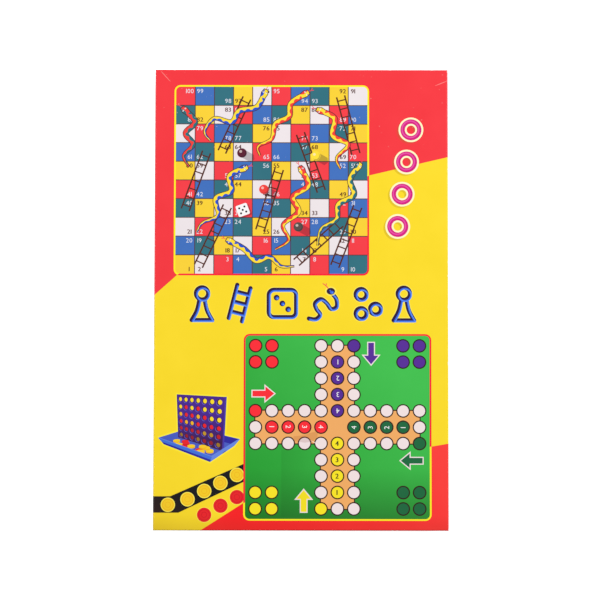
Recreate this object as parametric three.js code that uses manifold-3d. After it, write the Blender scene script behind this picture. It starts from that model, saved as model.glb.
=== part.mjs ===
// A boxed game set in millimetres, +Z up: a lift-off-lid paperboard box that holds a folding board,
// a four-in-a-row tray and rack, counters, pawns and a die. The origin is the middle of the box's underside.
import * as THREE from "three";
import { mergeVertices } from "three/addons/utils/BufferGeometryUtils.js";
import Module from "manifold-3d";

const wasm = await Module();
wasm.setup();

// Clearance between pieces that rest on each other
const REST_GAP = 0.2;

// Paperboard box
const CALIPER = 0.8;
const CREASE = 0.6;
const CORNER_RADIUS = 0.4;
const LID_DEPTH = 33;
const LID_FIT = 0.6;
const HEADROOM = 7.4;
const TAB_LENGTH = 18;
const TAB_TAPER = 3;
const TAB_INSET = 1.5;

// Folding board
const BOARD_SIDE = 256;
const LEAF_THICKNESS = 2;
const LEAF_CORNER = 3;
const FOLD_GAP = 0.4;
const BOARD_FIT = 3.2;

// Counters
const COUNTER_COLOURS = ["red", "yellow"];
const COUNTER_DIAMETER = 18;
const COUNTER_THICKNESS = 3.5;
const COUNTER_CHAMFER = 0.5;
const COUNTER_RIM = 2.2;
const COUNTER_RECESS = 0.5;
const COUNTERS_PER_STACK = 7;
const STACKS_PER_COLOUR = 3;
const STACK_GAP = 2.5;
const COUNTER_SIDES = 16;

// Four-in-a-row rack
const COLUMNS = 7;
const ROWS = 6;
const COLUMN_FIT = 0.4;
const CHANNEL_FIT = 1.1;
const DIVIDER = 1.2;
const END_WALL = 3.4;
const PANEL = 1.6;
const WINDOW_DIAMETER = 13.2;
const WINDOW_SIDES = 12;
const RACK_TOP_MARGIN = 3;
const PEG_DIAMETER = 1.8;
const PEG_FIT = 0.3;
const PEG_MARGIN = 12;
const PEG_SIDES = 8;

// Four-in-a-row tray
const RACK_FIT = 1.1;
const TRAY_FIT = 1;
const TRAY_SIDE_FIT = 0.5;
const TRAY_LENGTH = 142;
const TRAY_DEPTH = 26;
const TRAY_WALL = 1.5;
const TRAY_FLARE = 6.5;
const TRAY_FLANGE = 2;
const TRAY_FLANGE_THICKNESS = 1.6;
const TRAY_FLOOR = 1.5;
const TRAY_FOOT = 3;
const TRAY_CORNER = 8;
const NOTCH_WIDTH = 26;
const NOTCH_HEIGHT = 2.4;
const RIB_THICKNESS = 2;
const RIB_HEIGHT = 5;
const RIB_FIT = 0.5;
const RIB_END = 6;

// Pawns and die
const PAWN_COLOURS = ["red", "violet", "yellow", "green"];
const PAWN_ROWS = 2;
const PAWN_COLUMNS = 2;
const PAWN_BASE = 13;
const PAWN_HEIGHT = 24;
const PAWN_HEAD = 9;
const PAWN_NECK_ANGLE = 0.67;
const PAWN_FOOT = 1.6;
const PAWN_GAP = 2.5;
const PAWN_SIDES = 12;
const DIE_SIDE = 12;
const DIE_CORNER_CUT = 2.1;
const DIE_TURN = 0.3;
const WELL_GAP = 8;

// Sizes that follow from the ones above
const rackWidth = COLUMNS * (COUNTER_DIAMETER + COLUMN_FIT) + (COLUMNS - 1) * DIVIDER + 2 * END_WALL;
const rackHeight = ROWS * COUNTER_DIAMETER + RACK_TOP_MARGIN;
const channel = COUNTER_THICKNESS + CHANNEL_FIT;
const rackThickness = 2 * PANEL + channel;
const columnPitch = COUNTER_DIAMETER + COLUMN_FIT + DIVIDER;

const trayFloorWidth = rackWidth + 2 * RACK_FIT;
const trayFloorLength = Math.max(TRAY_LENGTH, rackHeight + 2 * RACK_FIT);
const traySpread = 2 * (TRAY_FLARE + TRAY_WALL + TRAY_FLANGE);
const trayOuterWidth = trayFloorWidth + traySpread;
const trayOuterLength = trayFloorLength + traySpread;
const trayFloorLevel = TRAY_FOOT + TRAY_FLOOR;

const stackCount = COUNTER_COLOURS.length * STACKS_PER_COLOUR;
const stackPitch = COUNTER_DIAMETER + STACK_GAP;
const stackHeight = COUNTERS_PER_STACK * COUNTER_THICKNESS;
const pawnPitch = PAWN_BASE + PAWN_GAP;
const stackRow = stackCount * stackPitch + WELL_GAP + DIE_SIDE * Math.SQRT2;
const pawnRow = PAWN_COLOURS.length * PAWN_COLUMNS * pawnPitch;
const piecesLength = Math.max(COUNTER_DIAMETER, DIE_SIDE) + WELL_GAP + PAWN_ROWS * pawnPitch;

const leafWidth = BOARD_SIDE / 2;
const boardThickness = 2 * LEAF_THICKNESS + FOLD_GAP;

const baseInnerWidth = Math.max(
  trayOuterWidth + 2 * TRAY_SIDE_FIT,
  leafWidth + 2 * BOARD_FIT,
  Math.max(stackRow, pawnRow) + 2 * WELL_GAP,
);
const baseInnerLength = Math.max(
  BOARD_SIDE + 2 * (BOARD_FIT + CALIPER),
  trayOuterLength + TRAY_FIT + CALIPER + piecesLength + 2 * WELL_GAP,
);
const baseWidth = baseInnerWidth + 2 * CALIPER;
const baseLength = baseInnerLength + 2 * CALIPER;
const lidClearance = CALIPER + LID_FIT;
const lidWidth = baseWidth + 2 * (lidClearance + CALIPER);
const lidLength = baseLength + 2 * (lidClearance + CALIPER);

const floorTop = CALIPER + REST_GAP;
const contentsTop = floorTop + Math.max(TRAY_DEPTH, stackHeight, PAWN_HEIGHT, DIE_SIDE);
const boardBottom = contentsTop + REST_GAP;
const baseHeight = boardBottom + boardThickness + HEADROOM;
const boxHeight = baseHeight + REST_GAP + CALIPER;

const trayCentre = baseInnerLength / 2 - CALIPER - TRAY_FIT - trayOuterLength / 2;
const wellEnd = trayCentre - trayOuterLength / 2;
const wellCentre = (wellEnd - baseInnerLength / 2) / 2;

// Mesh helpers

function toSolid(geometry) {
  const bare = geometry.clone();
  bare.deleteAttribute("normal");
  bare.deleteAttribute("uv");
  const merged = mergeVertices(bare, 1e-4);
  return new wasm.Manifold(new wasm.Mesh({
    numProp: 3,
    vertProperties: new Float32Array(merged.attributes.position.array),
    triVerts: new Uint32Array(merged.index.array),
  }));
}

function toGeometry(solid) {
  const mesh = solid.getMesh();
  const geometry = new THREE.BufferGeometry();
  geometry.setAttribute("position", new THREE.BufferAttribute(mesh.vertProperties, mesh.numProp));
  geometry.setIndex(new THREE.BufferAttribute(mesh.triVerts, 1));
  return geometry;
}

// A block centred on x and y, standing on z
function block(width, length, height, x, y, z) {
  return toSolid(new THREE.BoxGeometry(width, length, height).translate(x, y, z + height / 2));
}

// A round bar along +Z, standing on z
function bar(diameter, height, sides, x, y, z) {
  const cylinder = new THREE.CylinderGeometry(diameter / 2, diameter / 2, height, sides);
  return toSolid(cylinder.rotateX(Math.PI / 2).translate(x, y, z + height / 2));
}

function roundedRectangle(width, length, radius) {
  const x = width / 2 - radius;
  const y = length / 2 - radius;
  const shape = new THREE.Shape();
  shape.absarc(x, y, radius, 0, Math.PI / 2);
  shape.absarc(-x, y, radius, Math.PI / 2, Math.PI);
  shape.absarc(-x, -y, radius, Math.PI, 1.5 * Math.PI);
  shape.absarc(x, -y, radius, 1.5 * Math.PI, 2 * Math.PI);
  return shape;
}

// A closed solid through rounded rectangles, each given as [width, length, radius, z]
function loft(sections, arcSteps) {
  const loops = sections.map(([width, length, radius, z]) => {
    const outline = roundedRectangle(width, length, radius).getPoints(arcSteps);
    return outline.map((point) => new THREE.Vector3(point.x, point.y, z));
  });
  const count = loops[0].length;
  const centres = [loops[0], loops.at(-1)].map((loop) => new THREE.Vector3(0, 0, loop[0].z));
  const vertices = [...loops.flat(), ...centres];
  const bottomCentre = vertices.length - 2;
  const topCentre = vertices.length - 1;
  const lastLoop = (loops.length - 1) * count;
  const triangles = [];
  for (let i = 0; i < count; i += 1) {
    const next = (i + 1) % count;
    triangles.push(bottomCentre, next, i);
    triangles.push(topCentre, lastLoop + i, lastLoop + next);
    for (let low = 0; low < lastLoop; low += count) {
      const high = low + count;
      triangles.push(low + i, low + next, high + next);
      triangles.push(low + i, high + next, high + i);
    }
  }
  const geometry = new THREE.BufferGeometry().setFromPoints(vertices);
  geometry.setIndex(triangles);
  return toSolid(geometry);
}

// A profile of [radius, height] points, from axis to axis, turned about +Z
function turned(profile, sides) {
  const points = profile.map(([radius, height]) => new THREE.Vector2(radius, height));
  const lathe = new THREE.LatheGeometry(points, sides).rotateX(Math.PI / 2);
  return toGeometry(toSolid(lathe));
}

// Materials

function finish(colour, roughness) {
  return new THREE.MeshStandardMaterial({ color: colour, roughness, metalness: 0 });
}

const printedBoard = finish("#f5c928", 0.35);
const plainBoard = finish("#d9d5cb", 0.85);
const boardPaper = finish("#3faa4b", 0.45);
const trayPlastic = finish("#8fa9dd", 0.4);
const rackPlastic = finish("#3c3486", 0.35);
const diePlastic = finish("#f2f0e8", 0.25);
const piecePlastic = {
  red: finish("#d8262b", 0.3),
  violet: finish("#663a94", 0.3),
  yellow: finish("#f2c31c", 0.3),
  green: finish("#1c6b3d", 0.3),
};

// Box halves: each is folded from one blank, with four corner tabs glued inside the end walls

function foldedBox(width, length, height) {
  const arcSteps = 2;
  const innerWidth = width - 2 * CALIPER;
  const innerLength = length - 2 * CALIPER;
  const outerRadius = CORNER_RADIUS + CALIPER;
  const outer = loft([
    [width - 2 * CREASE, length - 2 * CREASE, outerRadius, 0],
    [width, length, outerRadius, CREASE],
    [width, length, outerRadius, height],
  ], arcSteps);
  const inner = loft([
    [innerWidth, innerLength, CORNER_RADIUS, CALIPER],
    [innerWidth, innerLength, CORNER_RADIUS, height + CALIPER],
  ], arcSteps);
  let shell = outer.subtract(inner);

  // Half of a tab's extra depth lies in the walls that it is folded from and glued to
  const glued = CALIPER / 2;
  const tabLow = CALIPER + TAB_INSET;
  const tabHigh = height - TAB_INSET;
  for (const side of [-1, 1]) {
    const corner = side * (innerWidth / 2 + glued);
    const tip = side * (innerWidth / 2 - TAB_LENGTH);
    const outline = new THREE.Shape([
      new THREE.Vector2(corner, tabLow),
      new THREE.Vector2(tip, tabLow + TAB_TAPER),
      new THREE.Vector2(tip, tabHigh - TAB_TAPER),
      new THREE.Vector2(corner, tabHigh),
    ]);
    for (const end of [-1, 1]) {
      const tab = new THREE.ExtrudeGeometry(outline, { depth: CALIPER + glued, bevelEnabled: false });
      const near = end > 0 ? innerLength / 2 + glued : CALIPER - innerLength / 2;
      tab.rotateX(Math.PI / 2).translate(0, near, 0);
      shell = shell.add(toSolid(tab));
    }
  }
  return toGeometry(shell);
}

// Folding board: two equal leaves, square along the crease and rounded at the outer corners

function boardLeaf() {
  const far = leafWidth - LEAF_CORNER;
  const end = BOARD_SIDE / 2 - LEAF_CORNER;
  const outline = new THREE.Shape();
  outline.moveTo(FOLD_GAP / 2, BOARD_SIDE / 2);
  outline.lineTo(FOLD_GAP / 2, -BOARD_SIDE / 2);
  outline.absarc(far, -end, LEAF_CORNER, 1.5 * Math.PI, 2 * Math.PI);
  outline.absarc(far, end, LEAF_CORNER, 0, Math.PI / 2);
  return new THREE.ExtrudeGeometry(outline, {
    depth: LEAF_THICKNESS,
    bevelEnabled: false,
    curveSegments: 3,
  });
}

// Tray: flared walls with a flange, a raised floor on a foot ring, and two ribs that hold the rack upright

function traySection(z, offset) {
  const lean = TRAY_FLARE / (TRAY_DEPTH - trayFloorLevel);
  const out = offset + lean * (z - trayFloorLevel);
  return [trayFloorWidth + 2 * out, trayFloorLength + 2 * out, TRAY_CORNER + out, z];
}

function standTray() {
  const arcSteps = 4;
  const over = TRAY_WALL;
  const flangeRadius = TRAY_CORNER + traySpread / 2;
  const body = loft([traySection(0, TRAY_WALL), traySection(TRAY_DEPTH, TRAY_WALL)], arcSteps);
  const flange = loft([
    [trayOuterWidth, trayOuterLength, flangeRadius, TRAY_DEPTH - TRAY_FLANGE_THICKNESS],
    [trayOuterWidth, trayOuterLength, flangeRadius, TRAY_DEPTH],
  ], arcSteps);
  const cavity = loft([traySection(trayFloorLevel, 0), traySection(TRAY_DEPTH + over, 0)], arcSteps);
  const recess = loft([traySection(-over, 0), traySection(TRAY_FOOT, 0)], arcSteps);
  const notch = block(trayOuterWidth, NOTCH_WIDTH, NOTCH_HEIGHT + over, 0, 0, -over);
  let tray = body.add(flange).subtract(cavity).subtract(recess).subtract(notch);

  const ribRoot = trayFloorLevel - TRAY_FLOOR / 2;
  const ribOffset = rackThickness / 2 + RIB_FIT + RIB_THICKNESS / 2;
  for (const side of [-1, 1]) {
    const length = trayFloorWidth - 2 * RIB_END;
    const height = RIB_HEIGHT + TRAY_FLOOR / 2;
    tray = tray.add(block(length, RIB_THICKNESS, height, 0, side * ribOffset, ribRoot));
  }
  return toGeometry(tray);
}

// Rack, lying on its back: x runs across the columns, y from foot to top edge, z through the panels

function columnCentre(column) {
  return (column - (COLUMNS - 1) / 2) * columnPitch;
}

function pegPlaces() {
  const x = (rackWidth - END_WALL) / 2;
  const heights = [PEG_MARGIN, rackHeight / 2, rackHeight - PEG_MARGIN];
  return [-x, x].flatMap((side) => heights.map((height) => [side, height]));
}

function circle(x, y, diameter) {
  return new THREE.Path().absarc(x, y, diameter / 2, 0, 2 * Math.PI, true);
}

function windowedPanel() {
  const x = rackWidth / 2;
  const outline = new THREE.Shape([
    new THREE.Vector2(-x, 0),
    new THREE.Vector2(x, 0),
    new THREE.Vector2(x, rackHeight),
    new THREE.Vector2(-x, rackHeight),
  ]);
  for (let column = 0; column < COLUMNS; column += 1) {
    for (let row = 0; row < ROWS; row += 1) {
      const centre = (row + 0.5) * COUNTER_DIAMETER;
      outline.holes.push(circle(columnCentre(column), centre, WINDOW_DIAMETER));
    }
  }
  return toSolid(new THREE.ExtrudeGeometry(outline, {
    depth: PANEL,
    bevelEnabled: false,
    curveSegments: WINDOW_SIDES / 2,
  }));
}

function rackBack() {
  let half = windowedPanel();
  const root = PANEL / 2;
  const height = PANEL / 2 + channel - REST_GAP;
  const middle = rackHeight / 2;
  for (let gap = 0; gap < COLUMNS - 1; gap += 1) {
    const x = columnCentre(gap) + columnPitch / 2;
    half = half.add(block(DIVIDER, rackHeight, height, x, middle, root));
  }
  for (const side of [-1, 1]) {
    const x = side * (rackWidth - END_WALL) / 2;
    half = half.add(block(END_WALL, rackHeight, height, x, middle, root));
  }
  for (const [x, y] of pegPlaces()) {
    const length = rackThickness - PANEL - REST_GAP;
    half = half.add(bar(PEG_DIAMETER, length, PEG_SIDES, x, y, PANEL));
  }
  return toGeometry(half);
}

function rackFront() {
  let half = windowedPanel();
  for (const [x, y] of pegPlaces()) {
    half = half.subtract(bar(PEG_DIAMETER + 2 * PEG_FIT, 3 * PANEL, PEG_SIDES, x, y, -PANEL));
  }
  return toGeometry(half);
}

// Loose pieces

function counterStack() {
  const radius = COUNTER_DIAMETER / 2;
  const profile = [[0, 0]];
  for (let counter = 0; counter < COUNTERS_PER_STACK; counter += 1) {
    const low = counter * COUNTER_THICKNESS;
    profile.push([radius - COUNTER_CHAMFER, low]);
    profile.push([radius, low + COUNTER_CHAMFER]);
    profile.push([radius, low + COUNTER_THICKNESS - COUNTER_CHAMFER]);
  }
  profile.push([radius - COUNTER_CHAMFER, stackHeight]);
  profile.push([radius - COUNTER_RIM, stackHeight]);
  profile.push([radius - COUNTER_RIM - COUNTER_CHAMFER, stackHeight - COUNTER_RECESS]);
  profile.push([0, stackHeight - COUNTER_RECESS]);
  return turned(profile, COUNTER_SIDES);
}

// A conical body on a small foot, with a ball for a head
function pawn() {
  const headRadius = PAWN_HEAD / 2;
  const headCentre = PAWN_HEIGHT - headRadius;
  const headSteps = 4;
  const profile = [
    [0, 0],
    [PAWN_BASE / 2, 0],
    [PAWN_BASE / 2, PAWN_FOOT],
  ];
  for (let step = 0; step <= headSteps; step += 1) {
    const angle = PAWN_NECK_ANGLE + (Math.PI - PAWN_NECK_ANGLE) * (step / headSteps);
    const radius = step < headSteps ? headRadius * Math.sin(angle) : 0;
    profile.push([radius, headCentre - headRadius * Math.cos(angle)]);
  }
  return turned(profile, PAWN_SIDES);
}

// A cube whose corners are rounded by a ball
function die() {
  const ballRadius = DIE_SIDE * Math.sqrt(3) / 2 - DIE_CORNER_CUT;
  const ball = new THREE.SphereGeometry(ballRadius, 20, 12).rotateX(Math.PI / 2);
  const cube = block(DIE_SIDE, DIE_SIDE, DIE_SIDE, 0, 0, -DIE_SIDE / 2);
  return toGeometry(cube.intersect(toSolid(ball)));
}

// Assembly

const gameSet = new THREE.Group();

function place(parent, name, geometry, material, x, y, z) {
  const mesh = new THREE.Mesh(geometry, material);
  mesh.name = name;
  mesh.position.set(x, y, z);
  parent.add(mesh);
  return mesh;
}

place(gameSet, "base", foldedBox(baseWidth, baseLength, baseHeight), plainBoard, 0, 0, 0);
const lid = place(gameSet, "lid", foldedBox(lidWidth, lidLength, LID_DEPTH), printedBoard, 0, 0, boxHeight);
lid.rotation.x = Math.PI;

const board = new THREE.Group();
board.position.set(-leafWidth / 2, 0, boardBottom);
gameSet.add(board);
place(board, "board_leaf_lower", boardLeaf(), boardPaper, 0, 0, 0);
place(board, "board_leaf_upper", boardLeaf(), boardPaper, 0, 0, LEAF_THICKNESS + FOLD_GAP);

const stand = new THREE.Group();
stand.position.set(0, trayCentre, floorTop);
gameSet.add(stand);
place(stand, "stand_tray", standTray(), trayPlastic, 0, 0, 0);
const rackSeat = trayFloorLevel + RIB_HEIGHT + REST_GAP;
place(stand, "rack_back", rackBack(), rackPlastic, 0, -rackHeight / 2, rackSeat);
place(stand, "rack_front", rackFront(), rackPlastic, 0, -rackHeight / 2, rackSeat + PANEL + channel);

const pieces = new THREE.Group();
pieces.position.set(0, wellCentre - piecesLength / 2, floorTop);
gameSet.add(pieces);
const stackGeometry = counterStack();
for (let index = 0; index < stackCount; index += 1) {
  const colour = COUNTER_COLOURS[Math.floor(index / STACKS_PER_COLOUR)];
  const name = `counter_stack_${colour}_${(index % STACKS_PER_COLOUR) + 1}`;
  const x = (index + 0.5) * stackPitch - stackRow / 2;
  place(pieces, name, stackGeometry, piecePlastic[colour], x, COUNTER_DIAMETER / 2, 0);
}
const dieX = (stackRow - DIE_SIDE * Math.SQRT2) / 2;
const dieMesh = place(pieces, "die", die(), diePlastic, dieX, COUNTER_DIAMETER / 2, DIE_SIDE / 2);
dieMesh.rotation.z = DIE_TURN;

const pawnGeometry = pawn();
const firstPawnRow = piecesLength - PAWN_ROWS * pawnPitch;
PAWN_COLOURS.forEach((colour, set) => {
  for (let index = 0; index < PAWN_ROWS * PAWN_COLUMNS; index += 1) {
    const column = set * PAWN_COLUMNS + (index % PAWN_COLUMNS);
    const row = Math.floor(index / PAWN_COLUMNS);
    const x = (column + 0.5) * pawnPitch - pawnRow / 2;
    const y = firstPawnRow + (row + 0.5) * pawnPitch;
    place(pieces, `pawn_${colour}_${index + 1}`, pawnGeometry, piecePlastic[colour], x, y, 0);
  }
});

export default gameSet;
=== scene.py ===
# A boxed game set: a printed carton, a folding board, a four-in-a-row stand and loose pieces
import itertools
import math
import random

import bmesh
import bpy
import numpy as np
from mathutils import Matrix, Vector
from mathutils.geometry import delaunay_2d_cdt


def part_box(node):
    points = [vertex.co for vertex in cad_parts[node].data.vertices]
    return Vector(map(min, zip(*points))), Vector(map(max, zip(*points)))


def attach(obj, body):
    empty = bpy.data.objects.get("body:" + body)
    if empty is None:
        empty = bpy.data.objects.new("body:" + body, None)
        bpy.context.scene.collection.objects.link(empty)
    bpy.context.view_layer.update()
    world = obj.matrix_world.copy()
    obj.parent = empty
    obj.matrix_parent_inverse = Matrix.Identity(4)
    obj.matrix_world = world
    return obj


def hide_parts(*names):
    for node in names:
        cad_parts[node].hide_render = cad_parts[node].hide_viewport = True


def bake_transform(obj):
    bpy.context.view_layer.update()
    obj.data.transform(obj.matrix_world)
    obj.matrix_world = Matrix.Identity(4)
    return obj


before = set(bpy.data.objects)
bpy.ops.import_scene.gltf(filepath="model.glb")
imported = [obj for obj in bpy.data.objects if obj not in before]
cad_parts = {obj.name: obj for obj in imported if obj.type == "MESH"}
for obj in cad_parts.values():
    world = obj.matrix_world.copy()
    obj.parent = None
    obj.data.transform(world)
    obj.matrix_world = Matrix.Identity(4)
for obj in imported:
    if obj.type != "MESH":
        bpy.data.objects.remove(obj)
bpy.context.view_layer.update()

# Flat drawings and cartons are laid out in millimetres, meshes are in metres
MM = 0.001

# Carton
CALIPER = 0.8
CREASE_RADIUS = 0.7
CREASE_STEPS = 4
GLUE_GAP = 0.1
TOUCHING = 1e-4
TAB_LENGTH = 18
TAB_TAPER = 3
TAB_INSET = 1.5
CORNER_SLANT = 0.3

# The lid's face, as half its width and length, and how far its print runs on past the folds
FACE_X = 86
FACE_Y = 135
BLEED = 60

# Printed pictures on the lid, each as left, right, bottom and top from the middle of the face
LADDERS_PANEL = (-74.7, 39.7, 13.6, 125.8)
LUDO_PANEL = (-33.5, 76.0, -129.2, -20.6)
PANEL_CORNER = 3.6
PANEL_BORDER = 1.0

# Game board
BOARD_SIDE = 256
BOARD_MARGIN = 6
BOARD_LINE = 1.6
BOARD_LINE_CORNER = 4
BOARD_CORNER = 3
LUDO_MARGIN = 2
LUDO_SPARE = 0.1
PAPER = 0.1
FOLD_HALF_GAP = 0.2
CREASE_PAPER = (226, 206, 188)
CREASE_SECTION_STEPS = 10

# How closely points of a drawing may lie, in millimetres
CUT_ACCURACY = 2e-3

# A sheet's texture map: the print's share of its height, the plain side's scale against it, and the margin
PRINT_SHARE = 0.98
PLAIN_SHARE = 0.3
MAP_MARGIN = 0.008

# The varnish's own shine adds this much to every ink, in linear light
VARNISH_SHINE = 0.008


# Inks, as red, green and blue bytes, some with an opacity

INKS = {
    "red": (243, 57, 65),
    "red_right": (251, 66, 62),
    # Red darkened by painted shade, for the lower left of the lower field
    "red_low": (247, 38, 40),
    "yellow": (249, 218, 43),
    "bare_board": (236, 226, 214),
    "grey_board": (176, 168, 156),
    "crack": (255, 206, 196, 0.42),
    "white_crease": (255, 244, 236, 0.8),
    "stain": (150, 66, 20, 0.24),
    "tone_step": (0, 60, 10, 0.12),
    "no_tone": (0, 60, 10, 0),
    # Painted shade for the lid's lower edge and lower left corner, and its clear end
    "painted_edge_shade": (120, 50, 0, 0.16),
    "no_painted_edge_shade": (120, 50, 0, 0),
    "border_red": (250, 34, 60),
    "border_yellow": (252, 240, 40),
    "square_yellow": (247, 208, 56),
    "square_white": (236, 227, 230),
    "square_red": (243, 63, 72),
    "square_blue": (66, 112, 188),
    "square_teal": (52, 112, 126),
    "grid_line": (84, 58, 62),
    "number_dark": (84, 40, 36),
    "number_light": (226, 227, 236),
    "ladder": (86, 44, 34),
    "snake_line": (74, 40, 44),
    "snake_yellow": (253, 222, 58),
    "snake_red": (240, 66, 60),
    "snake_blue": (42, 84, 200),
    "snake_teal": (40, 112, 122),
    "pawn_plum": (92, 34, 52),
    "pawn_grey": (86, 80, 76),
    "tongue": (240, 70, 84),
    "black": (24, 18, 30),
    "white": (248, 246, 246),
    "shadow": (26, 22, 46, 0.45),
    "shine": (255, 235, 225, 0.5),
    "ludo_light": (67, 191, 80),
    "ludo_dark": (36, 152, 46),
    "ludo_shade": (4, 60, 26, 0.5),
    "no_shade": (10, 70, 30, 0),
    "ludo_tan": (240, 172, 102),
    "ludo_line": (50, 22, 26),
    "ludo_white": (240, 224, 224),
    "ludo_red": (250, 48, 58),
    "ludo_violet": (88, 48, 150),
    "ludo_green": (34, 104, 64),
    "ludo_yellow": (248, 228, 40),
    "icon_halo": (255, 240, 112, 0.7),
    "icon_dark": (48, 20, 66),
    "icon_blue": (54, 104, 226),
    "icon_light": (120, 166, 248),
    "ring_magenta": (212, 30, 128),
    "ring_light": (230, 84, 164),
    "ring_cream": (252, 246, 196),
    "ring_shadow": (140, 100, 10, 0.28),
    "stand_halo": (255, 240, 60, 0.8),
    "rack_low": (62, 20, 76),
    "rack_shade": (40, 16, 40, 0.4),
    "rack_face": (74, 42, 140),
    "rack_side": (72, 58, 168),
    "rack_glint": (104, 98, 204),
    "rack_hole": (250, 220, 44),
    "tray_light": (104, 134, 222),
    "tray_mid": (74, 92, 190),
    "tray_front": (66, 112, 214),
    "tray_dark": (48, 44, 158),
    "disc_yellow": (246, 204, 40),
    "disc_yellow_rim": (240, 182, 34),
    "disc_red": (232, 38, 44),
    "disc_red_rim": (206, 28, 40),
    "disc_halo": (254, 238, 92),
}


def linear(byte):
    value = byte / 255
    return value / 12.92 if value <= 0.04045 else ((value + 0.055) / 1.055) ** 2.4


def ink_colour(name):
    """The pigment's linear colour, without the shine that the varnish adds, and its opacity."""
    red, green, blue, *opacity = INKS[name]
    pigment = [max(linear(byte) - VARNISH_SHINE, 0.004) for byte in (red, green, blue)]
    return (*pigment, opacity[0] if opacity else 1)


PIGMENTS = {name: ink_colour(name) for name in INKS}


# Objects and meshes, with the distances in metres at which points are one

WELD = 1e-7
PANEL_WELD = 1e-6
SHARP_ANGLE = math.radians(50)


def new_object(name, mesh):
    piece = bpy.data.objects.new(name, mesh)
    bpy.context.scene.collection.objects.link(piece)
    return piece


def plain_mesh(holder):
    """The object's mesh with its modifiers in it."""
    graph = bpy.context.evaluated_depsgraph_get()
    return bpy.data.meshes.new_from_object(holder.evaluated_get(graph))


def settled(piece):
    """Puts an object's modifiers into its mesh."""
    mesh = plain_mesh(piece)
    piece.modifiers.clear()
    old = piece.data
    piece.data = mesh
    mesh.name = old.name
    bpy.data.meshes.remove(old)
    return piece


def combined(piece, other, operation):
    """Joins or cuts a closed piece with another, which is used up."""
    step = piece.modifiers.new("cut", "BOOLEAN")
    step.operation = operation
    step.solver = "EXACT"
    step.object = other
    settled(piece)
    spent = other.data
    bpy.data.objects.remove(other)
    bpy.data.meshes.remove(spent)
    return piece


def softened(piece, width, segments=3, angle=35):
    """Rounds a piece's sharp edges and shades it smoothly between them."""
    step = piece.modifiers.new("edges", "BEVEL")
    step.width = width * MM
    step.segments = segments
    step.limit_method = "ANGLE"
    step.angle_limit = math.radians(angle)
    piece.data.shade_smooth()
    flatten = piece.modifiers.new("flats", "WEIGHTED_NORMAL")
    flatten.mode = "FACE_AREA"
    flatten.weight = 100
    return settled(piece)


def closed_mesh(name, vertices, faces):
    """A mesh from millimetres, with its faces turned outwards."""
    mesh = bpy.data.meshes.new(name)
    mesh.from_pydata([Vector(vertex) * MM for vertex in vertices], [], faces)
    shape = bmesh.new()
    shape.from_mesh(mesh)
    bmesh.ops.remove_doubles(shape, verts=shape.verts, dist=WELD)
    bmesh.ops.recalc_face_normals(shape, faces=shape.faces)
    shape.to_mesh(mesh)
    shape.free()
    return mesh


def bars(name, blocks):
    """Closed blocks, each given as its lowest and highest corners."""
    vertices, faces = [], []
    for low, high in blocks:
        first = len(vertices)
        vertices.extend(itertools.product(*zip(low, high)))
        sides = [(0, 1, 3, 2), (4, 6, 7, 5), (0, 4, 5, 1), (2, 3, 7, 6), (0, 2, 6, 4), (1, 5, 7, 3)]
        faces.extend([first + i for i in side] for side in sides)
    return new_object(name, closed_mesh(name, vertices, faces))


def lathed(name, profile, sides):
    """A closed turned mesh from radius and height pairs that start and end on the axis."""
    vertices = [(0, 0, profile[0][1]), (0, 0, profile[-1][1])]
    faces = []
    rings = profile[1:-1]
    for radius, height in rings:
        vertices.extend((*spot, height) for spot in ring_points(0, 0, radius, sides))
    for i in range(sides):
        after = (i + 1) % sides
        faces.append((0, 2 + after, 2 + i))
        last = 2 + (len(rings) - 1) * sides
        faces.append((1, last + i, last + after))
        for ring in range(len(rings) - 1):
            low, high = 2 + ring * sides, 2 + (ring + 1) * sides
            faces.append((low + i, low + after, high + after, high + i))
    mesh = closed_mesh(name, vertices, faces)
    mesh.shade_smooth()
    mesh.set_sharp_from_angle(angle=SHARP_ANGLE)
    return mesh


# Trees of geometry nodes

class Tree:
    """A geometry node tree with named inputs."""

    def __init__(self, name, inputs):
        self.group = bpy.data.node_groups.new(name, "GeometryNodeTree")
        for label, kind in inputs.items():
            self.group.interface.new_socket(label, in_out="INPUT", socket_type="NodeSocket" + kind)
        self.group.interface.new_socket("Geometry", in_out="OUTPUT", socket_type="NodeSocketGeometry")
        self.start = self.group.nodes.new("NodeGroupInput")

    def value(self, label):
        return self.start.outputs[label]

    def add(self, kind, output=0, settings=None, **links):
        """Adds a node, with inputs by name, underscores for spaces, and gives one of its outputs."""
        node = self.group.nodes.new(kind)
        for key, setting in (settings or {}).items():
            setattr(node, key, setting)
        for label, source in links.items():
            socket = next(s for s in node.inputs if s.name == label.replace("_", " ") and s.enabled)
            for each in source if isinstance(source, list) else [source]:
                if isinstance(each, bpy.types.NodeSocket):
                    self.group.links.new(each, socket)
                else:
                    socket.default_value = each
        return node.outputs[output]

    def maths(self, operation, first, second):
        node = self.group.nodes.new("ShaderNodeMath")
        node.operation = operation
        for socket, source in zip(node.inputs, (first, second)):
            if isinstance(source, bpy.types.NodeSocket):
                self.group.links.new(source, socket)
            else:
                socket.default_value = source
        return node.outputs[0]

    def end(self, geometry):
        finish = self.add("GeometryNodeSetMaterial", Geometry=geometry, Material=self.value("Finish"))
        self.group.links.new(finish, self.group.nodes.new("NodeGroupOutput").inputs[0])
        return self


def grown(name, tree, **values):
    """A plain mesh object grown by a tree of nodes."""
    holder = new_object(name, bpy.data.meshes.new(name))
    step = holder.modifiers.new("nodes", "NODES")
    step.node_group = tree.group
    for item in tree.group.interface.items_tree:
        label = item.name.replace(" ", "_")
        if item.in_out == "INPUT" and label in values:
            step[item.identifier] = values[label]
    return settled(holder)


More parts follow.
